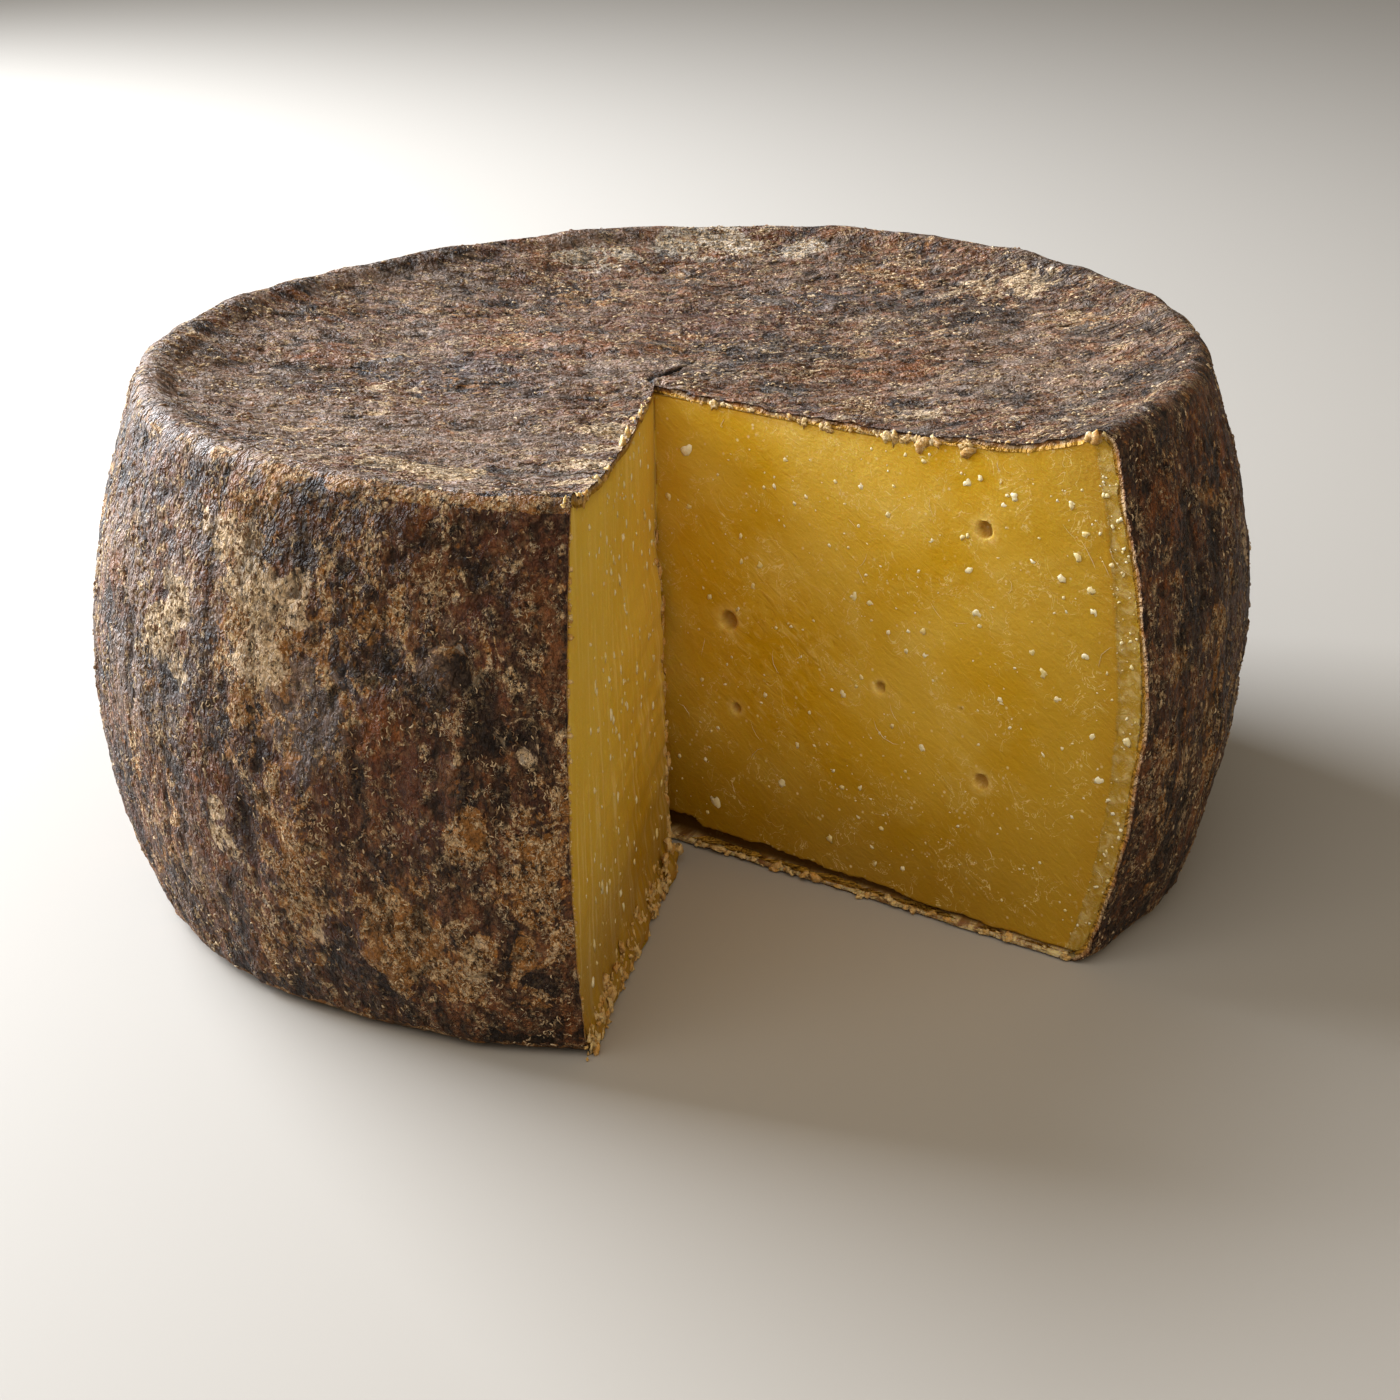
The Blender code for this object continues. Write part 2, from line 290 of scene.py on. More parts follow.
def round_radius(points):
    """The distance from the axis that points would have if the wheel were round."""
    return np.hypot(points[..., 0], points[..., 1]) / lobe_factor(plan_angle(points))


def side_radius(height):
    above = np.clip((height - WAIST_HEIGHT) / (WHEEL_HEIGHT - WAIST_HEIGHT), 0.0, 1.0)
    below = np.clip((WAIST_HEIGHT - height) / WAIST_HEIGHT, 0.0, 1.0)
    bulge = (WHEEL_RADIUS - TOP_RADIUS) * above ** TOP_BULGE
    return WHEEL_RADIUS - bulge - (WHEEL_RADIUS - BOTTOM_RADIUS) * below ** BOTTOM_BULGE


def rounded_radius(height):
    """The side's radius with its corners rounded."""
    up = np.clip((height - (WHEEL_HEIGHT - TOP_CORNER)) / TOP_CORNER, 0.0, 1.0)
    down = np.clip((BOTTOM_CORNER - height) / BOTTOM_CORNER, 0.0, 1.0)
    top = TOP_CORNER * (1.0 - np.sqrt(1.0 - up * up))
    bottom = BOTTOM_CORNER * (1.0 - np.sqrt(1.0 - down * down))
    return side_radius(height) - top - bottom


def outer_distance(points):
    """How far inside the wheel's side points lie."""
    return side_radius(points[..., 2]) - round_radius(points)


def top_height_at(place):
    """The dished top's height, which rises to the rim's crest outside RIM_INNER."""
    radius = round_radius(place)
    crest = TOP_RADIUS - TOP_CORNER
    dish = WHEEL_HEIGHT - DISH_DEPTH * (1.0 - np.clip(radius / TOP_RADIUS, 0.0, 1.0) ** DISH_POWER)
    foot = WHEEL_HEIGHT - DISH_DEPTH * (1.0 - (RIM_INNER / TOP_RADIUS) ** DISH_POWER)
    share = np.clip((radius - RIM_INNER) / (crest - RIM_INNER), 0.0, 1.0)
    return np.where(radius > RIM_INNER, foot + (WHEEL_HEIGHT - foot) * np.sin(share * math.pi / 2), dish)


def edge_line(height):
    """The wedge's tip at a height."""
    return EDGE_BOTTOM + (EDGE_TOP - EDGE_BOTTOM) * (np.asarray(height)[..., None] / WHEEL_HEIGHT)


def left_way(height, start):
    """The left face's direction from a point of it towards its outer line."""
    share = np.asarray(height)[..., None] / WHEEL_HEIGHT
    return unit(LEFT_OUTER_BOTTOM + (LEFT_OUTER_TOP - LEFT_OUTER_BOTTOM) * share - start)


def ring_hit(start, heading, radius):
    """How far from start, along heading, the lobed ring of a radius lies."""
    reach = np.broadcast_to(radius, start.shape[:-1]).astype(float)
    for _ in range(6):
        ring = radius * lobe_factor(plan_angle(start + heading * reach[..., None]))
        along = (start * heading).sum(-1)
        reach = np.sqrt(along ** 2 - (start ** 2).sum(-1) + ring ** 2) - along
    return reach


def solid_relief(points):
    """The low relief that the solid has."""
    folds = solid_noise(points / np.array(FOLD_SIZE))
    crags = solid_noise(points / CRAG_SIZE + np.array([7.3, 1.9, 4.1]))
    swell = solid_noise(points / SWELL_SIZE + np.array([2.2, 8.4, 6.7]))
    side = np.clip((WHEEL_HEIGHT - TOP_CORNER - points[..., 2]) / TOP_CORNER, 0.0, 1.0)
    height = FOLD_DEPTH * folds * side + CRAG_DEPTH * np.maximum(crags, -0.3) + SWELL_DEPTH * swell
    return height * np.clip(points[..., 2] / FLAT_MARGIN, 0.0, 1.0)


# ================================================================ the cut
RIGHT_WAY = direction(RIGHT_ANGLE)
RIGHT_OUT = np.array([RIGHT_WAY[1], -RIGHT_WAY[0]])     # from the right face into the gap


def torn_share(height):
    return np.clip(1.0 - height / TORN_HEIGHT, 0.0, 1.0)


def torn_edge(height):
    """The left face's inner edge: the wedge's tip above, and well in front of it at the torn foot."""
    tip = edge_line(height)
    torn = torn_share(height)
    place = np.zeros(height.shape + (3,))
    place[..., 0] = height / TORN_STEP
    place[..., 1] = 3.7
    rough = TORN_ROUGHNESS * solid_noise(place) * np.minimum(6.0 * torn, 1.0)
    across = np.zeros(tip.shape)
    across[..., 0] = TORN_BULGE * torn + rough
    return tip + left_way(height, tip) * (TORN_REACH * torn + TORN_START)[..., None] + across


def pocket_corner(height):
    depth = POCKET_DEPTH * np.minimum(3.0 * torn_share(height), 1.0)
    return edge_line(height) - RIGHT_WAY * depth[..., None]


def knife_wave(place, height, start):
    points = with_height(place, height) / FACE_WAVE_SIZE
    return FACE_WAVE * solid_noise(points + np.array([start, 0.0, 0.0]))


# ================================================================ meshes
def make_object(name, points, faces):
    """A smooth mesh piece, moved from the wheel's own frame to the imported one."""
    points = points.reshape(-1, 3).copy()
    points[:, :2] += AXIS
    mesh = bpy.data.meshes.new(name)
    mesh.from_pydata(points.tolist(), [], faces)
    mesh.validate()
    mesh.update()
    mesh.polygons.foreach_set("use_smooth", [True] * len(mesh.polygons))
    piece = bpy.data.objects.new(name, mesh)
    bpy.context.scene.collection.objects.link(piece)
    return piece


def give(piece, name, values):
    """An attribute for the material: one number a point, or a vector where values have three a point."""
    kind, field = ("FLOAT_VECTOR", "vector") if values.shape[1:] == (3,) else ("FLOAT", "value")
    layer = piece.data.attributes.new(name, kind, "POINT")
    layer.data.foreach_set(field, np.ascontiguousarray(values, dtype=np.float32).ravel())


def numbered(grid, start=0):
    """Vertex numbers for a grid of points (rows, columns, 3)."""
    return np.arange(grid.shape[0] * grid.shape[1]).reshape(grid.shape[:2]) + start


def grid_faces(index):
    """Quads over a grid of vertex numbers, seen from the side where rows run right and columns up."""
    quads = np.stack([index[:-1, :-1], index[1:, :-1], index[1:, 1:], index[:-1, 1:]], axis=-1)
    return quads.reshape(-1, 4)


def zip_faces(first, second, points):
    """Triangles between two lines of vertex numbers that run side by side, steps matched by length."""
    def shares(line):
        steps = np.linalg.norm(np.diff(points[line], axis=0), axis=1)
        return np.concatenate([[0.0], np.cumsum(steps)]) / max(steps.sum(), 1e-9)
    first_shares, second_shares = shares(first), shares(second)
    i = j = 0
    faces = []
    while i < len(first) - 1 or j < len(second) - 1:
        if j == len(second) - 1 or (i < len(first) - 1 and first_shares[i + 1] <= second_shares[j + 1]):
            faces.append((first[i], first[i + 1], second[j]))
            i += 1
        else:
            faces.append((first[i], second[j + 1], second[j]))
            j += 1
    return faces


def tidy_faces(*groups):
    """Lists of faces as one, without corners that repeat or faces that have no area left."""
    result = []
    for group in groups:
        for face in (group.tolist() if isinstance(group, np.ndarray) else group):
            face = [int(vertex) for vertex in face]
            slim = [vertex for place, vertex in enumerate(face) if vertex != face[place - 1]]
            if len(slim) > 2 and len(set(slim)) == len(slim):
                result.append(slim)
    return result


def coarse_steps(grid, strides):
    """Picks every so many columns and rows of a grid, and its last ones."""
    return np.ix_(*([*range(0, count - 1, stride), count - 1] for count, stride in zip(grid.shape, strides)))


# ================================================================ the outside, swept about the wedge's tip
def skin_stations():
    """(kind, share) down the profile: the top from the tip out, rim, side, foot, and the underside."""
    stations = [("top", share) for share in np.linspace(0.0, 1.0, TOP_ROWS + 1) ** 0.9]
    for kind, start, end, steps in (
        ("rim", 0.0, 1.0, CORNER_ROWS), ("side", 0.0, 1.0, SIDE_ROWS),
        ("foot", 0.0, 1.0, CORNER_ROWS - 1), ("below", 1.0, 0.0, BOTTOM_ROWS),
    ):
        stations += [(kind, share) for share in np.linspace(start, end, steps + 1)[1:]]
    return stations


def station_ring(kind, share):
    """The radius and height of a station's ring; for the top and underside, of the ring they start from."""
    if kind == "top":
        return TOP_RADIUS - TOP_CORNER, WHEEL_HEIGHT
    if kind == "rim":
        turn = share * math.pi / 2
        height = WHEEL_HEIGHT - TOP_CORNER * (1.0 - math.cos(turn))
        return float(side_radius(height)) - TOP_CORNER * (1.0 - math.sin(turn)), height
    if kind == "side":
        top = WHEEL_HEIGHT - TOP_CORNER
        height = top + (BOTTOM_CORNER - top) * share
        return float(side_radius(height)), height
    turn = share * math.pi / 2 if kind == "foot" else math.pi / 2
    height = BOTTOM_CORNER * (1.0 - math.sin(turn))
    return float(side_radius(height)) - BOTTOM_CORNER * (1.0 - math.cos(turn)), height


def skin_surface():
    """Points (column, station, 3) of the plain wheel from the right cut round the back to the left cut."""
    stations = skin_stations()
    turn = np.linspace(0.0, 1.0, TURN_COLUMNS + 1)
    points = np.zeros((TURN_COLUMNS + 1, len(stations), 3))
    for row, (kind, share) in enumerate(stations):
        radius, height = station_ring(kind, share)
        level = np.array(height)
        tip = edge_line(level)
        corner = torn_edge(level)
        way = left_way(level, corner)
        end = corner + way * ring_hit(corner, way, radius)
        left_angle = math.atan2(end[1] - tip[1], end[0] - tip[0]) % (2 * math.pi) + 2 * math.pi
        heading = direction(RIGHT_ANGLE + (left_angle - RIGHT_ANGLE) * turn)
        start = np.broadcast_to(tip, heading.shape)
        place = outer = start + heading * ring_hit(start, heading, radius)[:, None]
        if kind in ("top", "below"):
            place = tip + (outer - tip) * share
        if kind == "top":
            height = top_height_at(place)
        elif kind == "below":
            bent = bent_underside_edge(share, outer[-1])
            near_left = np.exp(-(1.0 - turn) * BEND_FADE) * (turn > 0.3)
            place = place + (bent - place[-1]) * near_left[:, None]
        points[:, row, :2] = place
        points[:, row, 2] = height
    return points, stations


def bent_underside_edge(share, outer):
    """The underside's left edge at a share of its length: from the tip to the torn corner and out."""
    level = np.array(0.0)
    line = np.array([edge_line(level), pocket_corner(level), torn_edge(level), outer])
    steps = np.concatenate([[0.0], np.cumsum(np.linalg.norm(np.diff(line, axis=0), axis=1))])
    return np.array([np.interp(share * steps[-1], steps, line[:, axis]) for axis in (0, 1)])


def surface_normals(points):
    normals = np.cross(np.gradient(points, axis=1), np.gradient(points, axis=0))
    length = np.linalg.norm(normals, axis=-1, keepdims=True)
    normals = normals / np.maximum(length, 1e-12)
    normals[length[..., 0] < 1e-10] = UP
    return normals


def nick(points):
    """How deep the knife's nick past the tip goes at points of the top."""
    centre = EDGE_TOP + unit(EDGE_TOP - LEFT_OUTER_TOP) * NICK_LENGTH * NICK_PLACE
    across, along = turned_plan(points[..., :2] - centre, NICK_TURN)
    inside = 1.0 - np.hypot(across / (NICK_WIDTH / 2), along / (NICK_LENGTH / 2))
    return NICK_DEPTH * ramp(inside, 0.0, 0.45)


def turned_plan(plan, angle):
    """A plan place's two parts along axes that are turned by an angle."""
    return (plan[..., 0] * math.cos(angle) + plan[..., 1] * math.sin(angle),
            plan[..., 1] * math.cos(angle) - plan[..., 0] * math.sin(angle))


def gash_share(points):
    """1 in the middle of the gash in the top, 0 beyond its ragged edges."""
    place = points[..., :2] + 0.0005 * value_noise(points, 0.0024, 65)[..., None]
    share = np.zeros(points.shape[:-1])
    for first, last, wide, slim in zip(GASH[:-1], GASH[1:], GASH_WIDTHS[:-1], GASH_WIDTHS[1:]):
        step = last - first
        along = np.clip(((place - first) * step).sum(-1) / (step * step).sum(), 0.0, 1.0)
        away = np.linalg.norm(place - first - step * along[..., None], axis=-1)
        share = np.maximum(share, 1.0 - away / (wide + (slim - wide) * along))
    return share * (points[..., 2] > WHEEL_HEIGHT / 2)


def rind_relief(points, side):
    """The rind's fine crags, grooves and grain, in metres, and a share from pit to crest."""
    bent = points + noise_vector(points, 0.004, 81) * 0.0011
    lumps = 0.42 * layered_noise(bent, 0.0085, 11, 3)
    pits = ramp(value_noise(bent, 0.0050, 41), 0.35, 0.85)
    upright = bent * (1.0, 1.0, 0.16)
    grooves = ridges(upright, 0.0030, 21) * 0.6 + value_noise(upright, 0.0062, 25)
    grain = ridges(bent * (1.0, 1.0, 0.55), 0.0021, 31)
    plates = ridges(bent * (1.0, 1.0, 0.5), 0.0150, 51)
    side_height = lumps + 0.30 * grooves + 0.26 * grain - 0.55 * pits + 0.22 * plates
    scales = ridges(bent * (0.55, 1.15, 1.0), 0.0072, 47)
    flat_grain = ridges(bent, 0.0023, 35)
    fibres = ridges(bent * (0.45, 1.25, 1.0), 0.0030, 45)
    top_height = lumps + 0.34 * scales + 0.22 * flat_grain + 0.26 * fibres - 0.40 * pits
    creases = ramp(ridges(bent * (1.0, 1.0, 0.07), 0.0170, 55), 0.78, 0.98)
    creases = creases * ramp(value_noise(points, 0.045, 57), -0.2, 0.4)
    height = np.maximum((side_height - 0.85 * creases) * side + top_height * (1.0 - side), -1.2)
    return height * MM, ramp(height, -0.75, 0.95)


def rim_share(points):
    """1 along the crest of the top's rim, fading over a few millimetres."""
    away = np.hypot(round_radius(points) - (TOP_RADIUS - 0.0015), points[..., 2] - (WHEEL_HEIGHT - 0.001))
    return 1.0 - ramp(away, 0.0015, 0.0085)


# Patches of each colour on the side: angle in degrees about the axis, height, size, strength.
SIDE_PATCHES = {
    "cream": (
        (230.6, 0.131, 0.017, 1.0), (231.5, 0.118, 0.012, 0.9), (224.2, 0.144, 0.012, 0.8),
        (216.0, 0.151, 0.012, 0.9), (217.5, 0.113, 0.015, 0.9), (251.0, 0.036, 0.010, 0.5),
        (255.6, 0.100, 0.009, 0.4), (225.1, 0.052, 0.009, 0.7), (236.0, 0.030, 0.010, 0.5),
        (18.0, 0.095, 0.012, 0.62), (75.0, 0.070, 0.012, 0.7), (150.0, 0.105, 0.013, 0.8),
    ),
    "grey": (
        (222.0, 0.128, 0.022, 0.8), (214.0, 0.100, 0.024, 0.9), (208.0, 0.130, 0.024, 0.8),
        (234.1, 0.106, 0.015, 0.9), (237.0, 0.095, 0.012, 0.8), (248.3, 0.119, 0.012, 0.7),
    ),
    "gold": (
        (242.2, 0.129, 0.013, 0.8), (249.9, 0.146, 0.008, 0.8), (226.0, 0.117, 0.007, 0.8),
        (243.5, 0.041, 0.014, 0.9), (246.0, 0.022, 0.014, 0.8), (251.7, 0.073, 0.009, 0.9),
        (229.0, 0.100, 0.010, 0.7), (238.5, 0.122, 0.010, 0.6), (250.5, 0.034, 0.014, 0.7),
        (333.0, 0.092, 0.012, 0.7), (112.0, 0.040, 0.018, 0.7),
    ),
    "blue": (
        (232.2, 0.149, 0.009, 1.0), (217.0, 0.091, 0.017, 0.9), (236.1, 0.091, 0.011, 0.9),
        (239.9, 0.111, 0.008, 0.8), (256.0, 0.122, 0.008, 0.7), (233.5, 0.052, 0.012, 0.6),
        (42.0, 0.070, 0.018, 0.8), (98.0, 0.110, 0.014, 0.65),
    ),
    "rust": (
        (239.2, 0.143, 0.010, 0.9), (241.0, 0.134, 0.008, 0.8), (243.4, 0.101, 0.010, 0.6),
        (206.0, 0.112, 0.010, 0.7), (224.0, 0.083, 0.012, 0.6), (334.5, 0.040, 0.014, 0.7),
        (60.0, 0.120, 0.016, 0.8),
    ),
    "red": (
        (230.3, 0.069, 0.024, 0.9), (252.6, 0.127, 0.016, 0.9), (246.0, 0.088, 0.022, 0.8),
        (238.0, 0.075, 0.016, 0.8), (257.0, 0.070, 0.014, 0.8),
    ),
    "dark": (
        (255.5, 0.146, 0.014, 0.9), (250.5, 0.108, 0.014, 0.8), (256.5, 0.055, 0.020, 0.7),
        (243.0, 0.116, 0.010, 0.6), (328.0, 0.110, 0.030, 0.8), (330.0, 0.060, 0.030, 0.8),
        (324.5, 0.140, 0.020, 0.8),
    ),
    "mould": ((230.0, 0.035, 0.0055, 0.85), (165.0, 0.045, 0.010, 0.9)),
}
# Patches on the top: x and y from the axis, size, strength.
TOP_PATCHES = {
    "cream": (
        (-0.073, -0.107, 0.012, 0.8), (0.110, 0.093, 0.014, 0.6), (-0.021, -0.052, 0.008, 0.9),
        (-0.024, -0.072, 0.007, 0.9), (-0.030, -0.093, 0.009, 0.8), (-0.032, -0.118, 0.007, 0.7),
    ),
    "grey": (
        (-0.098, -0.060, 0.030, 0.8), (0.099, -0.008, 0.024, 0.9), (-0.095, 0.085, 0.026, 0.7),
        (-0.020, -0.110, 0.020, 0.6),
    ),
    "blue": ((-0.085, 0.010, 0.020, 0.9), (0.058, 0.094, 0.018, 0.7)),
    "rust": ((-0.113, 0.019, 0.014, 0.7), (-0.042, 0.040, 0.018, 0.6), (0.069, 0.010, 0.012, 0.7)),
    "red": ((-0.056, -0.027, 0.024, 0.8), (0.006, 0.068, 0.026, 0.8)),
    "dark": ((0.030, 0.030, 0.022, 0.7), (0.080, 0.060, 0.022, 0.7)),
    "mould": ((0.010, 0.150, 0.016, 0.8), (0.040, 0.140, 0.010, 0.7), (-0.030, 0.135, 0.012, 0.6)),
}
# Each colour's level over the whole rind, and what the side adds to it. The top's stronger grey is partly its
# own colour and partly painted sheen.
TINTS = {
    "grey": (0.18, -0.28), "red": (0.08, 0.12), "dark": (0.15, 0.0), "rust": (-0.05, 0.05),
    "blue": (-0.04, 0.0), "gold": (0.02, 0.14), "cream": (-0.06, 0.0), "mould": (-0.20, 0.0),
}
# Painted shade: what each colour gains or loses on the front and right of the side, away from the window.
SHADED_TINTS = {"dark": 0.11, "red": 0.06, "rust": 0.09, "grey": -0.10, "blue": -0.12}
PATCH_STRENGTH = 0.85


def rind_tints(points, side):
    """How strongly each of the rind's colours shows: below about 0.4 not at all, above 0.6 fully."""
    whole = np.ones_like(side)
    bent = points + noise_vector(points, 0.012, 91) * 0.007
    bent = bent * np.stack([whole, whole, 1.0 - 0.62 * side], axis=-1)
    ragged = layered_noise(points, 0.012, 71, 4)
    turn = np.degrees(plan_angle(points)) % 360.0
    beyond = (turn - 120.0) % 360.0             # so that the fade past the right face doesn't wrap
    before_back = side * (1.0 - ramp(beyond, 240.0, 270.0))
    # Where painted shade goes into the colours: the front and right of the side.
    shaded = before_back * ramp(beyond, 116.0, 142.0)
    tints = {}
    for number, (kind, (base, on_side)) in enumerate(TINTS.items()):
        wander = layered_noise(bent, 0.026, 301 + 7 * number, 3) - 0.12
        tints[kind] = 0.12 + 0.62 * wander + base + on_side * side + SHADED_TINTS.get(kind, 0.0) * shaded
    # Greyer on the left of the side, where the window's light falls: partly the rind's own grey and partly
    # painted sheen.
    lit = 0.5 - 0.5 * np.cos(plan_angle(points) - math.radians(25.0))
    tints["grey"] += 0.32 * lit ** 9
    # Painted shade: darker still on the right of the side, and towards the right of the top.
    tints["dark"] += 0.10 * before_back * ramp(beyond, 180.0, 205.0)
    tints["dark"] += 0.10 * (1.0 - side) * ramp(points[..., 0], 0.05, 0.12)
    for kind, patches in SIDE_PATCHES.items():
        for angle, height, size, strength in patches:
            angle = math.radians(angle)
            centre = np.append(direction(angle) * WHEEL_RADIUS * lobe_factor(angle), height)
            away = np.linalg.norm((points - centre) * (1.0, 1.0, 0.7), axis=-1) / size
            inside = ramp(1.2 - away + 1.0 * ragged, 0.0, 0.8) * strength * PATCH_STRENGTH
            tints[kind] = np.maximum(tints[kind], inside)
    for kind, patches in TOP_PATCHES.items():
        for east, north, size, strength in patches:
            away = np.hypot((points[..., 0] - east) * 0.7, points[..., 1] - north) / size
            inside = ramp(1.25 - away + 0.8 * ragged, 0.0, 0.7) * (1.0 - side) * strength * PATCH_STRENGTH
            tints[kind] = np.maximum(tints[kind], inside)
    broken = ramp(layered_noise(points, 0.012, 75, 2), -0.5, 0.4)
    foot = 1.0 - ramp(points[..., 2], 0.003, 0.008)
    crust = 0.45 + 0.50 * ramp(turn, 222.0, 238.0) * (1.0 - ramp(turn, 262.0, 275.0))
    under = ramp(side, 0.10, 0.40) * ramp(points[..., 2], WHEEL_HEIGHT - 0.0046, WHEEL_HEIGHT - 0.0026)
    crust = crust * under * (0.45 + 0.55 * broken)
    tints["gold"] = np.maximum(tints["gold"], np.maximum(crust, 0.62 * foot))
    # Painted highlight: a paler band along the rim's crest on the left, where the light falls, broken up by
    # noise.
    front_left = (1.0 - ramp(turn, 225.0, 240.0)) * ramp(turn, 150.0, 190.0)
    pale = ramp(rim_share(points), 0.0, 0.6) * front_left
    tints["grey"] = np.maximum(tints["grey"], 0.85 * pale * (0.5 + 0.5 * broken))
    return tints


def lip_shift(points):
    """Moves the rind's cut edges out over the paste by a ragged lip."""
    level = points[..., 2]
    tip = edge_line(level)
    offset = points[..., :2] - tip
    reach = np.maximum(LIP_REACH + LIP_ROUGHNESS * layered_noise(points, 0.0035, 101, 2), 0.12 * MM)
    left = left_way(level, tip)
    shift = 0.0
    for way, out in ((RIGHT_WAY, RIGHT_OUT), (left, quarter_turn(left))):
        along = (offset * way).sum(-1)
        away = np.linalg.norm(offset - way * np.maximum(along, 0.0)[..., None], axis=-1)
        shift = shift + out * (reach * np.exp(-(away / LIP_WIDTH) ** 2))[..., None]
    moved = points.copy()
    moved[..., :2] += shift * (points[..., 2:] > 0.0005)
    return moved


class Skin:
    """The wheel's plain outside with its normals and low relief, from which rind and paste are made."""

    def __init__(self):
        self.points, self.stations = skin_surface()
        self.normals = surface_normals(self.points)
        side = [{"side": 1.0, "foot": 1.0, "rim": share}.get(kind, 0.0) for kind, share in self.stations]
        self.side = np.broadcast_to(side, self.points.shape[:2])
        self.low = solid_relief(self.points)
        self.gash = gash_share(self.points)
        self.dent = nick(self.points) * (self.points[..., 2] > WHEEL_HEIGHT / 2) + GASH_DEPTH * self.gash

    def lifted(self, lift):
        """The skin's points raised by a height over the low relief."""
        return self.points + self.normals * (self.low - self.dent + lift)[..., None]

    def layer(self, lift):
        """The same, no lower than the underside."""
        raised = self.lifted(lift)
        raised[..., 2] = np.maximum(raised[..., 2], 0.0)
        return raised


def make_rind(skin):
    """A closed skin: the fine outside, a coarser inside, and the cut edge between the two."""
    relief, crest = rind_relief(skin.points, skin.side)
    worn = 1.0 - RIM_SMOOTHING * rim_share(skin.points)
    relief = relief * worn * np.clip(skin.points[..., 2] / FLAT_MARGIN, 0.0, 1.0)
    below = np.array([kind == "below" for kind, _ in skin.stations])
    outer = skin.layer(relief)
    outer[:, below] = skin.points[:, below]
    outer = lip_shift(outer)
    coarse = coarse_steps(outer, INNER_STRIDES)
    inner = skin.lifted(-RIND_DEPTH)[coarse]
    rough = layered_noise(inner, 0.006, 111, 2)
    inner = lip_shift(inner + skin.normals[coarse] * (RIND_INNER_ROUGHNESS * rough)[..., None])
    inner[..., 2] = np.maximum(inner[..., 2], 0.0)
    outside = numbered(outer)
    inside = numbered(inner, outside.size)
    points = np.concatenate([outer.reshape(-1, 3), inner.reshape(-1, 3)])
    faces = tidy_faces(
        grid_faces(outside)[:, ::-1],
        grid_faces(inside),
        zip_faces(outside[0], inside[0], points),
        zip_faces(inside[-1], outside[-1], points),
        zip_faces(inside[:, 0], outside[:, 0], points),
        zip_faces(outside[:, -1], inside[:, -1], points),
    )
    piece = make_object("rind", points, faces)
    tints = rind_tints(skin.points, skin.side)
    facts = {kind: (strength, 0.0) for kind, strength in tints.items()}
    facts.update(crest=(crest, 0.6), side=(skin.side, 0.0), gash=(skin.gash, 0.0))
    facts["deep"] = (np.zeros(outside.shape), 1.0)
    for name, (values, hidden) in facts.items():
        give(piece, name, np.concatenate([values.ravel(), np.full(inside.size, hidden)]))
    return piece, relief, tints


# ================================================================ the paste
def face_levels(place, row_share):
    """Heights up a column whose plan point moves with height: found by a few rounds of correction."""
    level = PASTE_FOOT + (WHEEL_HEIGHT - PASTE_FOOT) * row_share
    for _ in range(5):
        level = PASTE_FOOT + (top_height_at(place(level)) - PASTE_INSET - PASTE_FOOT) * row_share
    return level


def cut_columns():
    """The cut's columns from the right face's outer edge to the tip pocket and out along the left face."""
    columns = [("right", share) for share in np.linspace(1.0, 0.0, RIGHT_COLUMNS + 1)]
    for kind, steps in (("pocket", POCKET_COLUMNS), ("left", LEFT_COLUMNS)):
        columns += [(kind, share) for share in np.linspace(0.0, 1.0, steps + 1)[1:]]
    return columns


def cut_place(kind, share, level):
    """The plan point of one column at a height."""
    start = torn_edge(level) if kind == "left" else pocket_corner(level)
    if kind == "pocket":
        return start + (torn_edge(level) - start) * share
    heading = left_way(level, start) if kind == "left" else np.broadcast_to(RIGHT_WAY, start.shape)
    reach = ring_hit(start, heading, rounded_radius(level) - PASTE_INSET) * share
    return start + heading * reach[..., None]


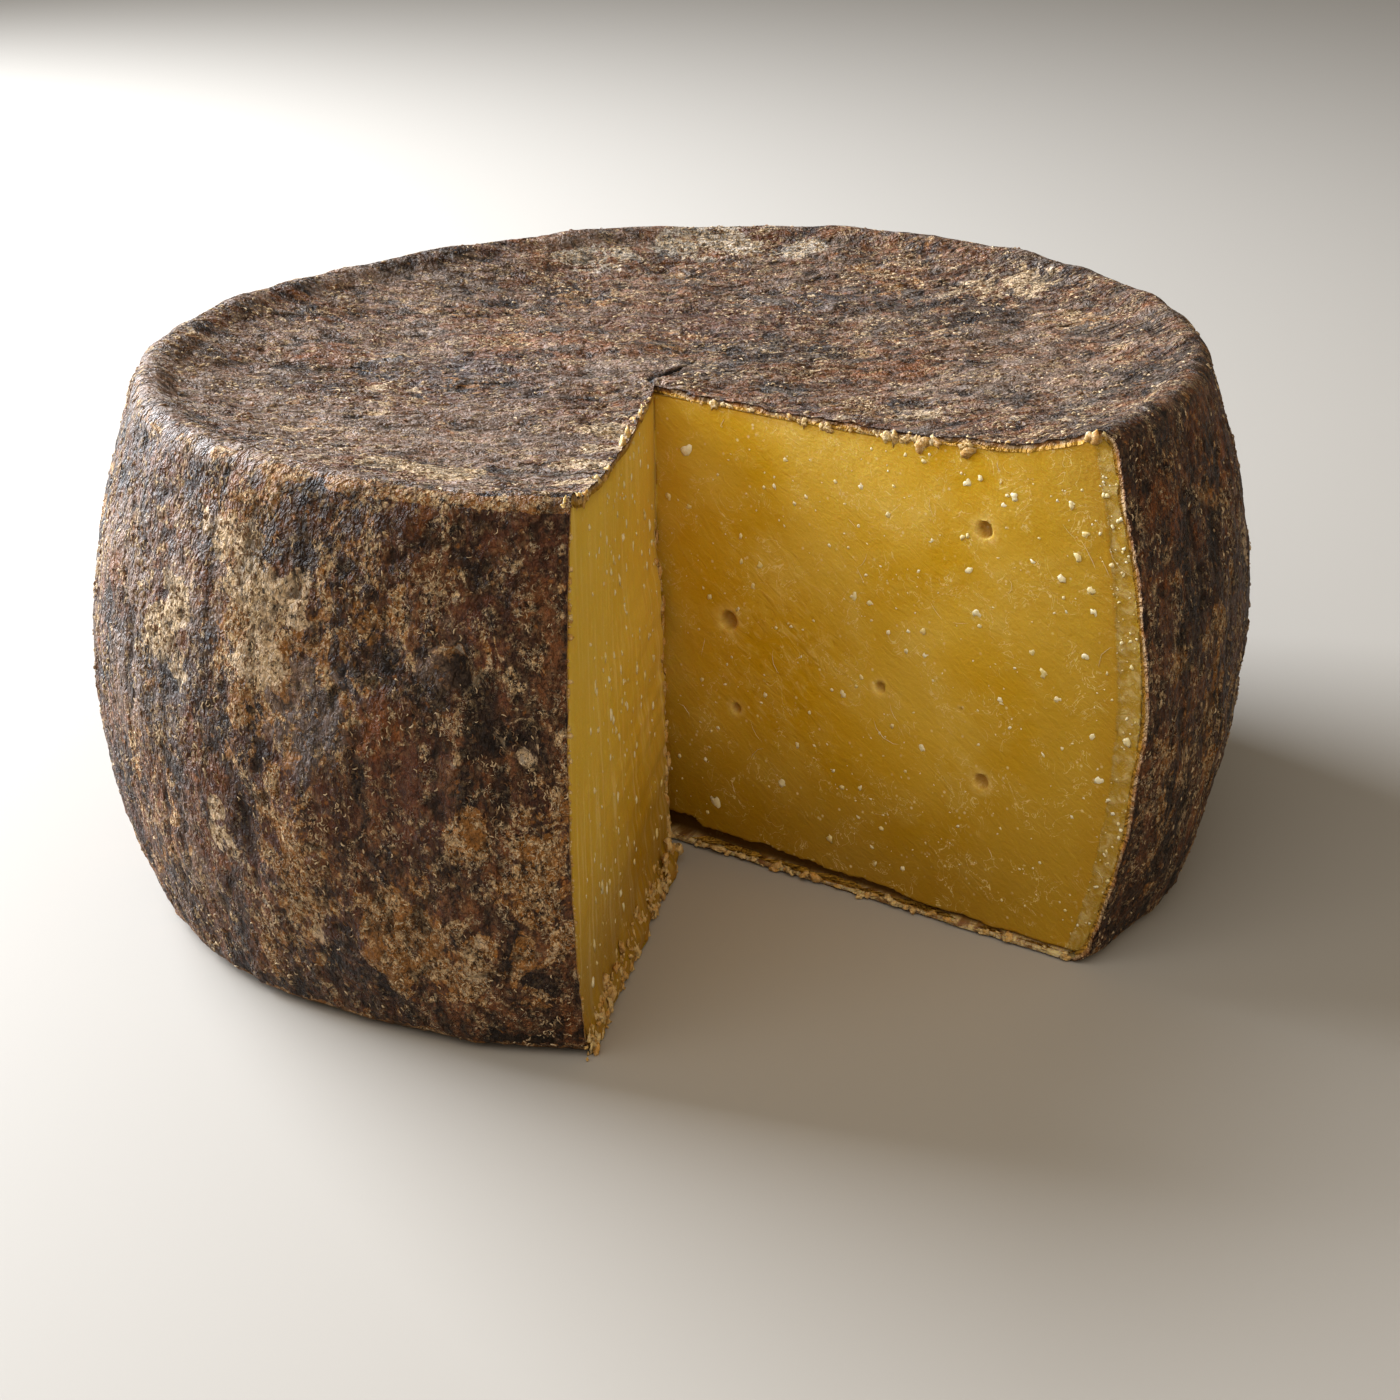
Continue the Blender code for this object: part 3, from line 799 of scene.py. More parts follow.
def make_paste(skin):
    """The paste as one closed body: the cut faces in fine steps, and a plain side hidden in the rind."""
    row_share = np.linspace(0.0, 1.0, FACE_ROWS + 1)
    columns = cut_columns()
    grid = np.zeros((len(columns), FACE_ROWS + 1, 3))
    for number, (kind, share) in enumerate(columns):
        level = face_levels(lambda height: cut_place(kind, share, height), row_share)
        grid[number] = with_height(cut_place(kind, share, level), level)
    kinds = np.array([kind for kind, _ in columns])
    right, left, pocket = (kinds == name for name in ("right", "left", "pocket"))
    detail, facts = cut_detail(grid, right, left, pocket)
    grid = grid + detail
    cut = numbered(grid)
    hidden = skin.lifted(-PASTE_INSET)[coarse_steps(skin.points, HIDDEN_STRIDES)]
    hidden[..., 2] = np.maximum(hidden[..., 2], HIDDEN_FOOT)
    back = numbered(hidden, cut.size)
    # The hidden side's first and last rows close in one point each, at the wedge's tip.
    top_tip, bottom_tip = back[0, 0], back[0, -1]
    back[:, 0], back[:, -1] = top_tip, bottom_tip
    points = np.concatenate([grid.reshape(-1, 3), hidden.reshape(-1, 3)])
    last_right = int(np.nonzero(right)[0][-1])
    first_left = int(np.nonzero(pocket)[0][-1])
    # The outline of each face, from the tip over its top, down its outer edge and back along its foot.
    right_path, left_path = (np.concatenate([[top_tip], *path, [bottom_tip]]) for path in (
        (cut[last_right::-1, -1], cut[0, -2::-1], cut[1:last_right + 1, 0]),
        (cut[first_left:, -1], cut[-1, -2::-1], cut[-2:first_left - 1:-1, 0]),
    ))
    middle = cut[last_right:first_left + 1]
    tip_fans = [(top_tip, a, b) for a, b in zip(middle[:-1, -1], middle[1:, -1])]
    tip_fans += [(bottom_tip, b, a) for a, b in zip(middle[:-1, 0], middle[1:, 0])]
    faces = tidy_faces(
        grid_faces(cut)[:, ::-1],
        grid_faces(back)[:, ::-1],
        zip_faces(back[0], right_path, points),
        zip_faces(left_path, back[-1], points),
        tip_fans,
    )
    # Vertices that no face uses are left out.
    used = sorted({vertex for face in faces for vertex in face})
    fresh = np.full(len(points), -1)
    fresh[used] = np.arange(len(used))
    faces = [[int(fresh[vertex]) for vertex in face] for face in faces]
    piece = make_object("paste", points[used], faces)
    for name, values in facts.items():
        values = values.reshape(cut.size, *values.shape[2:])
        give(piece, name, np.concatenate([values, np.zeros((back.size, *values.shape[1:]))])[used])
    return piece


def cut_detail(points, right, left, pocket):
    """Offsets of the cut faces from their planes, and what the material needs to know of each point."""
    place, level = points[..., :2], points[..., 2]
    right, left, pocket = (np.broadcast_to(kind[:, None], level.shape) for kind in (right, left, pocket))
    offset = place - edge_line(level)
    along = np.where(left, np.linalg.norm(offset, axis=-1), (offset * RIGHT_WAY).sum(-1))
    flat = np.stack([along, level, np.where(left, 0.4, 0.0)], axis=-1)
    turned = np.stack([*turned_plan(flat, SMEAR_ANGLE), flat[..., 2]], axis=-1)
    smear = layered_noise(turned * (0.22, 1.0, 1.0), 0.0042, 121, 3)
    dimple = layered_noise(flat, 0.010, 131, 2)
    streak = layered_noise(flat * (1.0, 0.18, 1.0), 0.0050, 141, 3)
    recess, crack, strip = foot_recess(along, level)
    bubbles = layered_noise(flat, 0.0045, 181, 2)
    knife = np.interp(level, KNIFE_HEIGHTS, KNIFE_WIDTHS) - (outer_distance(points) - RIND_DEPTH)
    away = ((along - SMEAR_PLACE[0]) / SMEAR_SIZE[0]) ** 2 + ((level - SMEAR_PLACE[1]) / SMEAR_SIZE[1]) ** 2
    smeared = np.clip(np.exp(-away) + 0.45 * ramp(layered_noise(flat, 0.030, 191, 2), -0.1, 0.7), 0.12, 1.0)
    push = np.zeros(level.shape)
    for where, height in (
        (right, knife_wave(place, level, RIGHT_WAVE)),
        (left, knife_wave(place, level, LEFT_WAVE)),
        (right, (0.05 * smear + 0.10 * dimple) * MM),
        (left, (0.22 * streak + 0.10 * dimple) * MM),
        (pocket, 0.9 * MM * layered_noise(points, 0.006, 151, 3)),
        (right, -recess),
        (right, ramp(knife, -0.0003, 0.0003) * (0.25 * bubbles - 0.30) * MM),
        (left, foot_tatters(level, points)),
        (right, 0.16 * smear * smeared * MM),
    ):
        push += np.where(where, height, 0.0)
    shift = np.zeros(points.shape)
    eye = np.zeros(level.shape)
    halo = np.zeros(level.shape)
    for eye_along, eye_level, diameter in EYES:
        radius = diameter / 2
        away = np.where(right, np.hypot(along - eye_along, level - eye_level), 1.0)
        mouth = radius * math.sqrt(1.0 - EYE_SINK ** 2)
        near = np.abs(away - mouth) < EYE_STEP
        scale = np.where(near, mouth / np.maximum(away, 1e-9) - 1.0, 0.0)
        shift[..., :2] += RIGHT_WAY * ((along - eye_along) * scale)[..., None]
        shift[..., 2] += (level - eye_level) * scale
        inside = away < mouth - EYE_STEP
        depth = EYE_SINK * radius + np.sqrt(np.maximum(radius ** 2 - away ** 2, 0.0))
        push = np.where(inside, -0.9 * depth, push)
        push = np.where(near, np.minimum(push, 0.0), push)
        eye = np.maximum(eye, inside)
        halo = np.maximum(halo, 1.0 - ramp(away / radius, 1.1, 2.2))
    left_out = quarter_turn(left_way(level, torn_edge(level)))
    shift[..., :2] += np.where(left[..., None], left_out, RIGHT_OUT) * push[..., None]
    edge = np.minimum(outer_distance(points), top_height_at(place) - level)
    return shift, {
        "place": flat,
        "edge": np.clip(np.minimum(edge, level + 0.0005) / FACT_REACH, 0.0, 1.0),
        "knife": np.where(right, np.clip(knife / FACT_REACH, -1.0, 1.0), -1.0),
        "crack": crack * right,
        "strip": strip * right,
        "smear": smeared * right,
        "eye": eye,
        "halo": halo,
        "left": left.astype(float),
        "torn": pocket.astype(float),
    }


def foot_recess(along, level):
    """The right face's foot, torn back above a strip of rind: depth, and shares of crack and strip."""
    fade = 1.0 - ramp(along, 0.0, RECESS_END * 1.9)
    ragged = layered_noise(np.stack([along, 0.0 * along, 0.0 * along], axis=-1), 0.006, 171, 3)
    strip = STRIP_HEIGHT + 0.0008 * ragged
    roof = strip + (RECESS_HEIGHT - STRIP_HEIGHT) * np.maximum(fade, 0.12) * (1.0 + 0.35 * ragged)
    inside = ramp(level, strip - 0.0003, strip + 0.0004) * (1.0 - ramp(level, roof - 0.0005, roof + 0.0005))
    ledge = STRIP_REACH * (0.7 + 0.6 * ragged) * (1.0 - ramp(level, strip - 0.0008, strip + 0.0002))
    depth = RECESS_DEPTH * inside * (0.35 + 0.65 * fade) - ledge
    return depth, inside, 1.0 - ramp(level, strip, strip + 0.0005)


def foot_tatters(level, points):
    """The left face's foot flares out in torn tatters."""
    rough = layered_noise(points * (1.0, 1.0, 0.5), 0.007, 161, 3)
    return (0.0018 + 0.0022 * rough) * (1.0 - ramp(level, 0.004, 0.016 + 0.006 * rough))


# ================================================================ small things
def ball(fine):
    """A round lump's points on a unit sphere, and its triangles."""
    shape = bmesh.new()
    bmesh.ops.create_icosphere(shape, subdivisions=2 if fine else 1, radius=1.0)
    shape.verts.ensure_lookup_table()
    points = np.array([vertex.co[:] for vertex in shape.verts])
    faces = np.array([[vertex.index for vertex in face.verts] for face in shape.faces])
    shape.free()
    return points, faces


def make_small(name, groups):
    """Many small bodies as one mesh. A group: points (body, point, 3), one body's faces, each body's tone."""
    points, faces, tones = [], [], []
    count = 0
    for bodies, body_faces, tone in groups:
        starts = count + bodies.shape[1] * np.arange(len(bodies))
        points.append(bodies.reshape(-1, 3))
        faces.append((body_faces[None] + starts[:, None, None]).reshape(-1, 3))
        tones.append(np.repeat(tone, bodies.shape[1]))
        count += bodies.shape[0] * bodies.shape[1]
    points = np.concatenate(points)
    points[:, 2] = np.maximum(points[:, 2], LOWEST_POINT)
    piece = make_object(name, points, np.concatenate(faces).tolist())
    give(piece, "tone", np.concatenate(tones))
    return piece


def lumps(centres, sizes, frames, seed, fine, rough):
    """Uneven lumps: centres, half sizes (n, 3), frames (n, 3, 3), fineness and roughness."""
    round_points, faces = ball(fine)
    rng = np.random.default_rng(seed)
    shifts = rng.uniform(0.0, 90.0, (len(centres), 1, 3))
    bumps = 1.0 + rough * value_noise(round_points[None] + shifts, 0.95, seed)
    bumps = bumps + 0.6 * rough * value_noise(round_points[None] + shifts, 0.5, seed + 1)
    bumps = bumps + 0.45 * rough * rng.uniform(-1.0, 1.0, bumps.shape)
    local = round_points[None] * bumps[..., None] * sizes[:, None, :]
    bodies = np.einsum("nvi,nij->nvj", local, frames) + centres[:, None, :]
    return bodies, faces, rng.uniform(0.0, 1.0, len(centres))


def lump_sizes(rng, count, least, more, power, low, high, shape=(1.0, 1.0, 1.0)):
    """Half sizes (n, 3): few of the lumps large, each uneven, and all of one shape."""
    spread = least + more * rng.uniform(0.0, 1.0, (count, 1)) ** power
    return spread * rng.uniform(low, high, (count, 3)) * np.array(shape)


def face_frames(way, out, rng, spread):
    """Frames on a cut face: along it, up it and out of it, turned about the last by a random angle."""
    way, out = (np.pad(plan, ((0, 0), (0, 1))) for plan in (way, out))
    angle = rng.uniform(-spread, spread, len(out))[:, None]
    across = way * np.cos(angle) + UP * np.sin(angle)
    along = UP * np.cos(angle) - way * np.sin(angle)
    return np.stack([across, along, out], axis=1)


def right_points(along, height, lift):
    """Points on the right cut face, lifted out of it into the gap."""
    plan = edge_line(height) + RIGHT_WAY * along[..., None]
    return with_height(plan + RIGHT_OUT * (knife_wave(plan, height, RIGHT_WAVE) + lift)[..., None], height)


def right_lumps(along, height, lift, size, rng, seed, fine, rough, spread=math.pi):
    way, out = (np.broadcast_to(plan, (len(along), 2)) for plan in (RIGHT_WAY, RIGHT_OUT))
    frames = face_frames(way, out, rng, spread)
    return lumps(right_points(along, height, lift), size, frames, seed, fine, rough)


def left_lumps(along, height, lift, size, rng, seed, fine, rough, spread=0.6):
    """Lumps on the left cut face: lift and size are the ranges to draw from."""
    corner = torn_edge(height)
    way = left_way(height, corner)
    out = quarter_turn(way)
    plan = corner + way * along[..., None]
    lift = rng.uniform(*lift, len(along)) if lift else 0.0
    centres = with_height(plan + out * (knife_wave(plan, height, LEFT_WAVE) + lift)[..., None], height)
    size = lump_sizes(rng, len(along), *size)
    return lumps(centres, size, face_frames(way, out, rng, spread), seed, fine, rough)


def right_reach(height):
    """How far from the wedge's tip the right face runs at a height, less the rind."""
    start = edge_line(height)
    return ring_hit(start, np.broadcast_to(RIGHT_WAY, start.shape), rounded_radius(height) - PASTE_INSET)


def scattered_on_right(count, seed):
    """Places on the right face, thicker where noise and the rind's nearness make it so."""
    rng = np.random.default_rng(seed)
    tried = count * 6
    share = rng.uniform(0.02, 0.985, tried)
    height = rng.uniform(0.012, 0.147, tried)
    along = share * right_reach(height)
    crowd = layered_noise(np.stack([along, height, np.zeros_like(along)], axis=-1), 0.022, seed, 2)
    keep = rng.uniform(0.0, 1.0, tried) < ramp(crowd + 0.5 * share, -0.4, 0.9)
    keep &= height < top_height_at(edge_line(height) + RIGHT_WAY * along[:, None]) - 0.003
    for eye_along, eye_height, diameter in EYES:
        keep &= np.hypot(along - eye_along, height - eye_height) > 0.9 * diameter
    chosen = np.nonzero(keep)[0][:count]
    return along[chosen], height[chosen], rng


def make_crystals():
    """White crystals in the paste: large ones in their places, small ones scattered, flecks on the left."""
    rng = np.random.default_rng(7)
    along, height, size = CRYSTALS.T
    size = size[:, None] * rng.uniform(0.42, 0.68, (len(along), 3)) * np.array([1.0, 1.0, 0.35])
    large = right_lumps(along, height, -0.40 * size[:, 2], size, rng, 71, True, 0.5)
    along, height, rng = scattered_on_right(SMALL_CRYSTALS, 72)
    size = lump_sizes(rng, len(along), 0.00024, 0.00062, 3, 0.7, 1.35, (1.0, 1.0, 0.6))
    small = right_lumps(along, height, -0.35 * size[:, 2], size, rng, 73, False, 0.4)
    rng = np.random.default_rng(74)
    height = rng.uniform(0.006, 0.148, LEFT_CRYSTALS)
    along = rng.uniform(0.002, 0.125, LEFT_CRYSTALS) + 0.01 * (1.0 - height / WHEEL_HEIGHT)
    size = (0.00028, 0.00065, 2.5, 0.7, 1.3, (1.0, 2.0, 0.55))
    left = left_lumps(along, height, None, size, rng, 75, False, 0.45, 0.3)
    # In the glassy strip between the knife mark and the rind.
    height = rng.uniform(0.006, 0.152, STRIP_CRYSTALS)
    inset = rng.uniform(0.0, 1.1, STRIP_CRYSTALS) * np.interp(height, KNIFE_HEIGHTS, KNIFE_WIDTHS)
    along = right_reach(height) - RIND_DEPTH + PASTE_INSET - inset
    size = lump_sizes(rng, STRIP_CRYSTALS, 0.00022, 0.00055, 2, 0.6, 1.4, (1.0, 1.0, 0.6))
    strip = right_lumps(along, height, -0.0002, size, rng, 76, False, 0.5)
    return make_small("crystals", [large, small, left, strip])


def make_slivers(name, roots, along, out, lengths, widths, bends, seed):
    """Curved spindles as one mesh, lying on a surface: pointed ends sunk in, the middle raised."""
    rng = np.random.default_rng(seed)
    across = np.cross(out, along)
    share = np.linspace(-1.0, 1.0, SLIVER_RINGS)
    count = len(roots)
    bends, widths, reach = bends[:, None], widths[:, None], lengths[:, None] / 2
    angle = share * bends
    bow = np.where(bends == 0, 1, bends)
    straight = np.where(np.abs(bends) < 0.05, share, np.sin(angle) / bow)
    lift = widths * (0.25 - 0.95 * share ** 2)
    middle = (
        roots[:, None] + along[:, None] * (reach * straight)[..., None]
        + across[:, None] * (reach * ((1.0 - np.cos(angle)) / bow))[..., None]
        + out[:, None] * lift[..., None]
    )
    heading = along[:, None] * np.cos(angle)[..., None] + across[:, None] * np.sin(angle)[..., None]
    beside = np.cross(out[:, None], heading)[:, 1:-1]
    uneven = rng.uniform(0.75, 1.25, (count, SLIVER_RINGS - 2))
    swell = widths / 2 * (1.0 - share[1:-1] ** 2) ** 0.5 * uneven
    rings = [
        middle[:, 1:-1] + (beside * math.cos(turn) + out[:, None] * math.sin(turn)) * swell[..., None]
        for turn in (math.pi / 2, math.pi * 7 / 6, math.pi * 11 / 6)
    ]
    points = [middle[:, :1], np.stack(rings, axis=2).reshape(count, -1, 3), middle[:, -1:]]
    end = 1 + 3 * (SLIVER_RINGS - 2)
    sides = ((0, 1), (1, 2), (2, 0))
    faces = [(0, 1 + after, 1 + this) for this, after in sides]
    for low in range(1, end - 3, 3):
        high = low + 3
        for this, after in sides:
            faces += [(low + this, low + after, high + after), (low + this, high + after, high + this)]
    faces += [(end, end - 3 + this, end - 3 + after) for this, after in sides]
    tones = rng.uniform(0.0, 1.0, count)
    return make_small(name, [(np.concatenate(points, axis=1), np.array(faces), tones)])


def make_threads():
    """Fine white threads on the right face, most of them falling to the right."""
    along, height, rng = scattered_on_right(THREADS, 81)
    count = len(along)
    tilt = rng.choice([-55.0, -40.0, 35.0, 60.0], count, p=[0.45, 0.25, 0.15, 0.15])
    tilt = np.radians(tilt + rng.normal(0, 12, count))[:, None]
    heading = np.append(RIGHT_WAY, 0.0) * np.cos(tilt) + UP * np.sin(tilt)
    out = np.tile(np.append(RIGHT_OUT, 0.0), (count, 1))
    lengths = rng.uniform(0.004, 0.016, count)
    widths = rng.uniform(0.00010, 0.00024, count)
    roots = right_points(along, height, 0.0)
    return make_slivers("threads", roots, heading, out, lengths, widths, rng.uniform(-1.3, 1.3, count), 82)


def make_flakes(name, skin, relief, tints, on_side, count, seed):
    """Pale curled slivers of dry rind, in clusters, on the side or on the top."""
    rng = np.random.default_rng(seed)
    fits = (skin.side > 0.5) if on_side else (skin.side < 0.2)
    above = skin.points[..., 2] > (0.004 if on_side else WHEEL_HEIGHT / 2)
    along, down = (np.gradient(skin.points, axis=axis) for axis in (0, 1))
    area = np.linalg.norm(np.cross(along, down), axis=-1)
    crust = ramp(np.maximum(tints["cream"], tints["mould"]), 0.35, 0.7)
    pull = ramp(layered_noise(skin.points, 0.013, seed, 3), 0.0, 0.5) + 0.07 + 0.9 * crust
    past_right = np.exp(-((plan_angle(skin.points) - math.radians(-28.0)) / 0.35) ** 2)
    pull = pull * (1.0 - 0.8 * past_right * skin.side)
    chance = (fits & above & (skin.gash <= 0.0)) * area * pull
    chance = (chance / chance.sum()).ravel()
    chosen = rng.choice(chance.size, size=count, p=chance)
    spots = skin.layer(relief).reshape(-1, 3)[chosen]
    out = unit(skin.normals.reshape(-1, 3)[chosen])
    stray = rng.normal(0.0, 0.0005, spots.shape)
    spots = spots + stray - out * (stray * out).sum(-1)[:, None]
    first = unit(np.cross(out, UP) + 1e-9) if on_side else np.tile([1.0, 0.0, 0.0], (count, 1))
    second = unit(np.cross(out, first))
    angle = rng.normal(math.pi / 2 if on_side else 0.0, 0.75, count)[:, None]
    along = unit(first * np.cos(angle) + second * np.sin(angle))
    large = rng.uniform(0.0, 1.0, count) ** 3
    lengths = FLAKE_LENGTH * (0.45 + 0.6 * rng.uniform(0.0, 1.0, count) + 0.8 * large)
    widths = FLAKE_WIDTH * (rng.uniform(0.6, 1.2, count) + 0.5 * large)
    bends = rng.choice([-1.0, 1.0], count) * (rng.uniform(0.3, 1.8, count) + 1.2 * large)
    return make_slivers(name, spots, along, out, lengths, widths, bends, seed + 1)


def make_crumbs():
    """Crumbs and torn bits of paste along the cut's edges and its foot."""
    rng = np.random.default_rng(90)

    def shares(count):
        return rng.uniform(0.0, 1.0, count)

    groups = []
    # Under the top's edge along the right face, thick in a few places.
    tried = 260
    along = 0.010 + 0.150 * shares(tried)
    thick = sum(strong * np.exp(-((along - middle) / width) ** 2) for strong, middle, width in CRUMB_SPOTS)
    keep = shares(tried) < 0.12 + thick
    along, thick = along[keep], thick[keep]
    count = len(along)
    size = 0.0005 + 0.0013 * shares(count) ** 1.4 * np.clip(0.22 + 0.78 * thick, 0.0, 1.0)
    top = top_height_at(edge_line(np.full(count, NEAR_TOP)) + RIGHT_WAY * along[:, None])
    height = top - 0.0004 - rng.uniform(0.3, 1.5, count) * size - 0.0006 * thick
    size = size[:, None] * rng.uniform(0.60, 1.30, (count, 3)) * np.array([1.3, 1.0, 0.36])
    groups.append(right_lumps(along, height, rng.uniform(-0.0004, 0.0002, count), size, rng, 91, True, 0.9))
    # A torn lip of rind and paste along the left face's top.
    count = 84
    along = 0.008 + 0.146 * shares(count)
    height = np.full(count, NEAR_TOP)
    tip = edge_line(height)
    top = top_height_at(tip + left_way(height, tip) * along[:, None])
    height = top - 0.0002 - 0.0016 * shares(count)
    size = (0.0004, 0.0013, 2, 0.6, 1.4, (1.5, 0.7, 0.6))
    groups.append(left_lumps(along, height, (-0.0010, 0.0002), size, rng, 96, True, 0.9))
    # Down the left face's outer edge.
    count = 120
    height = rng.uniform(0.004, 0.155, count)
    corner = torn_edge(height)
    along = ring_hit(corner, left_way(height, corner), rounded_radius(height)) - 0.0022
    size = (0.0003, 0.0006, 2, 0.7, 1.4)
    groups.append(left_lumps(along, height, (0.0, 0.0006), size, rng, 92, False, 0.5))
    # Torn tatters along the left face's foot.
    count = 330
    along = rng.uniform(-0.001, 0.128, count)
    height = 0.0006 + 0.011 * shares(count) ** 1.6
    size = (0.0004, 0.0010, 2, 0.6, 1.4, (1.0, 1.4, 0.7))
    groups.append(left_lumps(along, height, (0.0002, 0.0024), size, rng, 93, True, 0.7))
    # Along the torn inner edge, thinning upwards.
    count = 200
    height = 0.003 + 0.105 * shares(count) ** 1.4
    along = rng.uniform(-0.0015, 0.0030, count)
    size = (0.0004, 0.0009, 2, 0.6, 1.4, (0.9, 2.0, 0.6))
    groups.append(left_lumps(along, height, (-0.0012, 0.0003), size, rng, 94, True, 0.7))
    # On the strip of rind at the right face's foot.
    count = 120
    along = 0.153 * shares(count) ** 1.2
    height = 0.0010 + 0.0016 * shares(count)
    size = lump_sizes(rng, count, 0.0003, 0.0010, 3, 0.6, 1.4, (1.5, 0.8, 1.0))
    lift = rng.uniform(0.0004, 0.0018, count)
    groups.append(right_lumps(along, height, lift, size, rng, 95, True, 0.7, 0.4))
    return make_small("crumbs", groups)


# ================================================================ materials
class Nodes:
    """Short names for building a material's nodes."""

    def __init__(self, name):
        self.material = bpy.data.materials.new(name)
        self.material.use_nodes = True
        self.tree = self.material.node_tree
        self.shader = self.tree.nodes["Principled BSDF"]
        self.color = None

    def add(self, kind, settings=(), **inputs):
        """A new node with its settings and its inputs, whose names have _ for a space."""
        node = self.tree.nodes.new("ShaderNode" + kind)
        for key, value in dict(settings).items():
            setattr(node, key, value)
        for key, value in inputs.items():
            self.feed(node.inputs[key.replace("_", " ")], value)
        return node

    def feed(self, socket, value):
        """Links a socket to another node, or sets it to a constant."""
        if isinstance(value, bpy.types.NodeSocket):
            self.tree.links.new(value, socket)
        elif socket.type == "RGBA":
            socket.default_value = (*[float(part) for part in value], 1.0)
        else:
            socket.default_value = value

    def shade(self, **inputs):
        for key, value in inputs.items():
            self.feed(self.shader.inputs[key.replace("_", " ")], value)

    def attribute(self, name, output="Fac"):
        return self.add("Attribute", {"attribute_name": name}).outputs[output]

    def position(self):
        return self.add("TexCoord").outputs["Object"]

    def mapped(self, vector, scale=(1, 1, 1), turn=(0, 0, 0)):
        return self.add("Mapping", Vector=vector, Scale=scale, Rotation=turn).outputs["Vector"]

    def noise(self, vector, scale, detail=3.0, rough=0.5, bend=0.0, output="Fac"):
        node = self.add("TexNoise", Vector=vector, Scale=scale, Detail=detail, Roughness=rough)
        self.feed(node.inputs["Distortion"], bend)
        return node.outputs[output]

    def cells(self, vector, scale):
        return self.add("TexVoronoi", {"feature": "F1"}, Vector=vector, Scale=scale)

    def math(self, operation, first, second=0.0, third=0.0):
        node = self.add("Math", {"operation": operation})
        for socket, value in zip(node.inputs, (first, second, third)):
            self.feed(socket, value)
        return node.outputs[0]

    def plus(self, first, second):
        return self.math("ADD", first, second)

    def less(self, first, second):
        return self.math("SUBTRACT", first, second)

    def times(self, first, second):
        return self.math("MULTIPLY", first, second)

    def line(self, value, slope, start):
        """value * slope + start"""
        return self.math("MULTIPLY_ADD", value, slope, start)

    def span(self, value, low, high, new_low=0.0, new_high=1.0):
        """A smooth step from one range to another."""
        ends = {"From_Min": low, "From_Max": high, "To_Min": new_low, "To_Max": new_high}
        node = self.add("MapRange", {"interpolation_type": "SMOOTHSTEP"}, Value=value, **ends)
        return node.outputs["Result"]

    def mix(self, share, first, second):
        node = self.add("Mix", {"data_type": "RGBA"}, Factor=share)
        self.feed(node.inputs[6], first)
        self.feed(node.inputs[7], second)
        return node.outputs[2]

    def paint(self, share, tint):
        """Lays a colour over what is there, by a share."""
        self.color = self.mix(share, self.color, tint)

    def finish(self, roughness, height, distance, strength, wax=None):
        """Joins colour, roughness and bump to the shader; wax is the depth that light sinks in."""
        self.shade(Base_Color=self.color, Roughness=roughness)
        bump = self.add("Bump", Height=height, Distance=distance, Strength=strength)
        self.shade(Normal=bump.outputs["Normal"])
        if wax:
            weight, radius, scale = wax
            self.shade(Subsurface_Weight=weight, Subsurface_Radius=radius, Subsurface_Scale=scale)
        return self.material


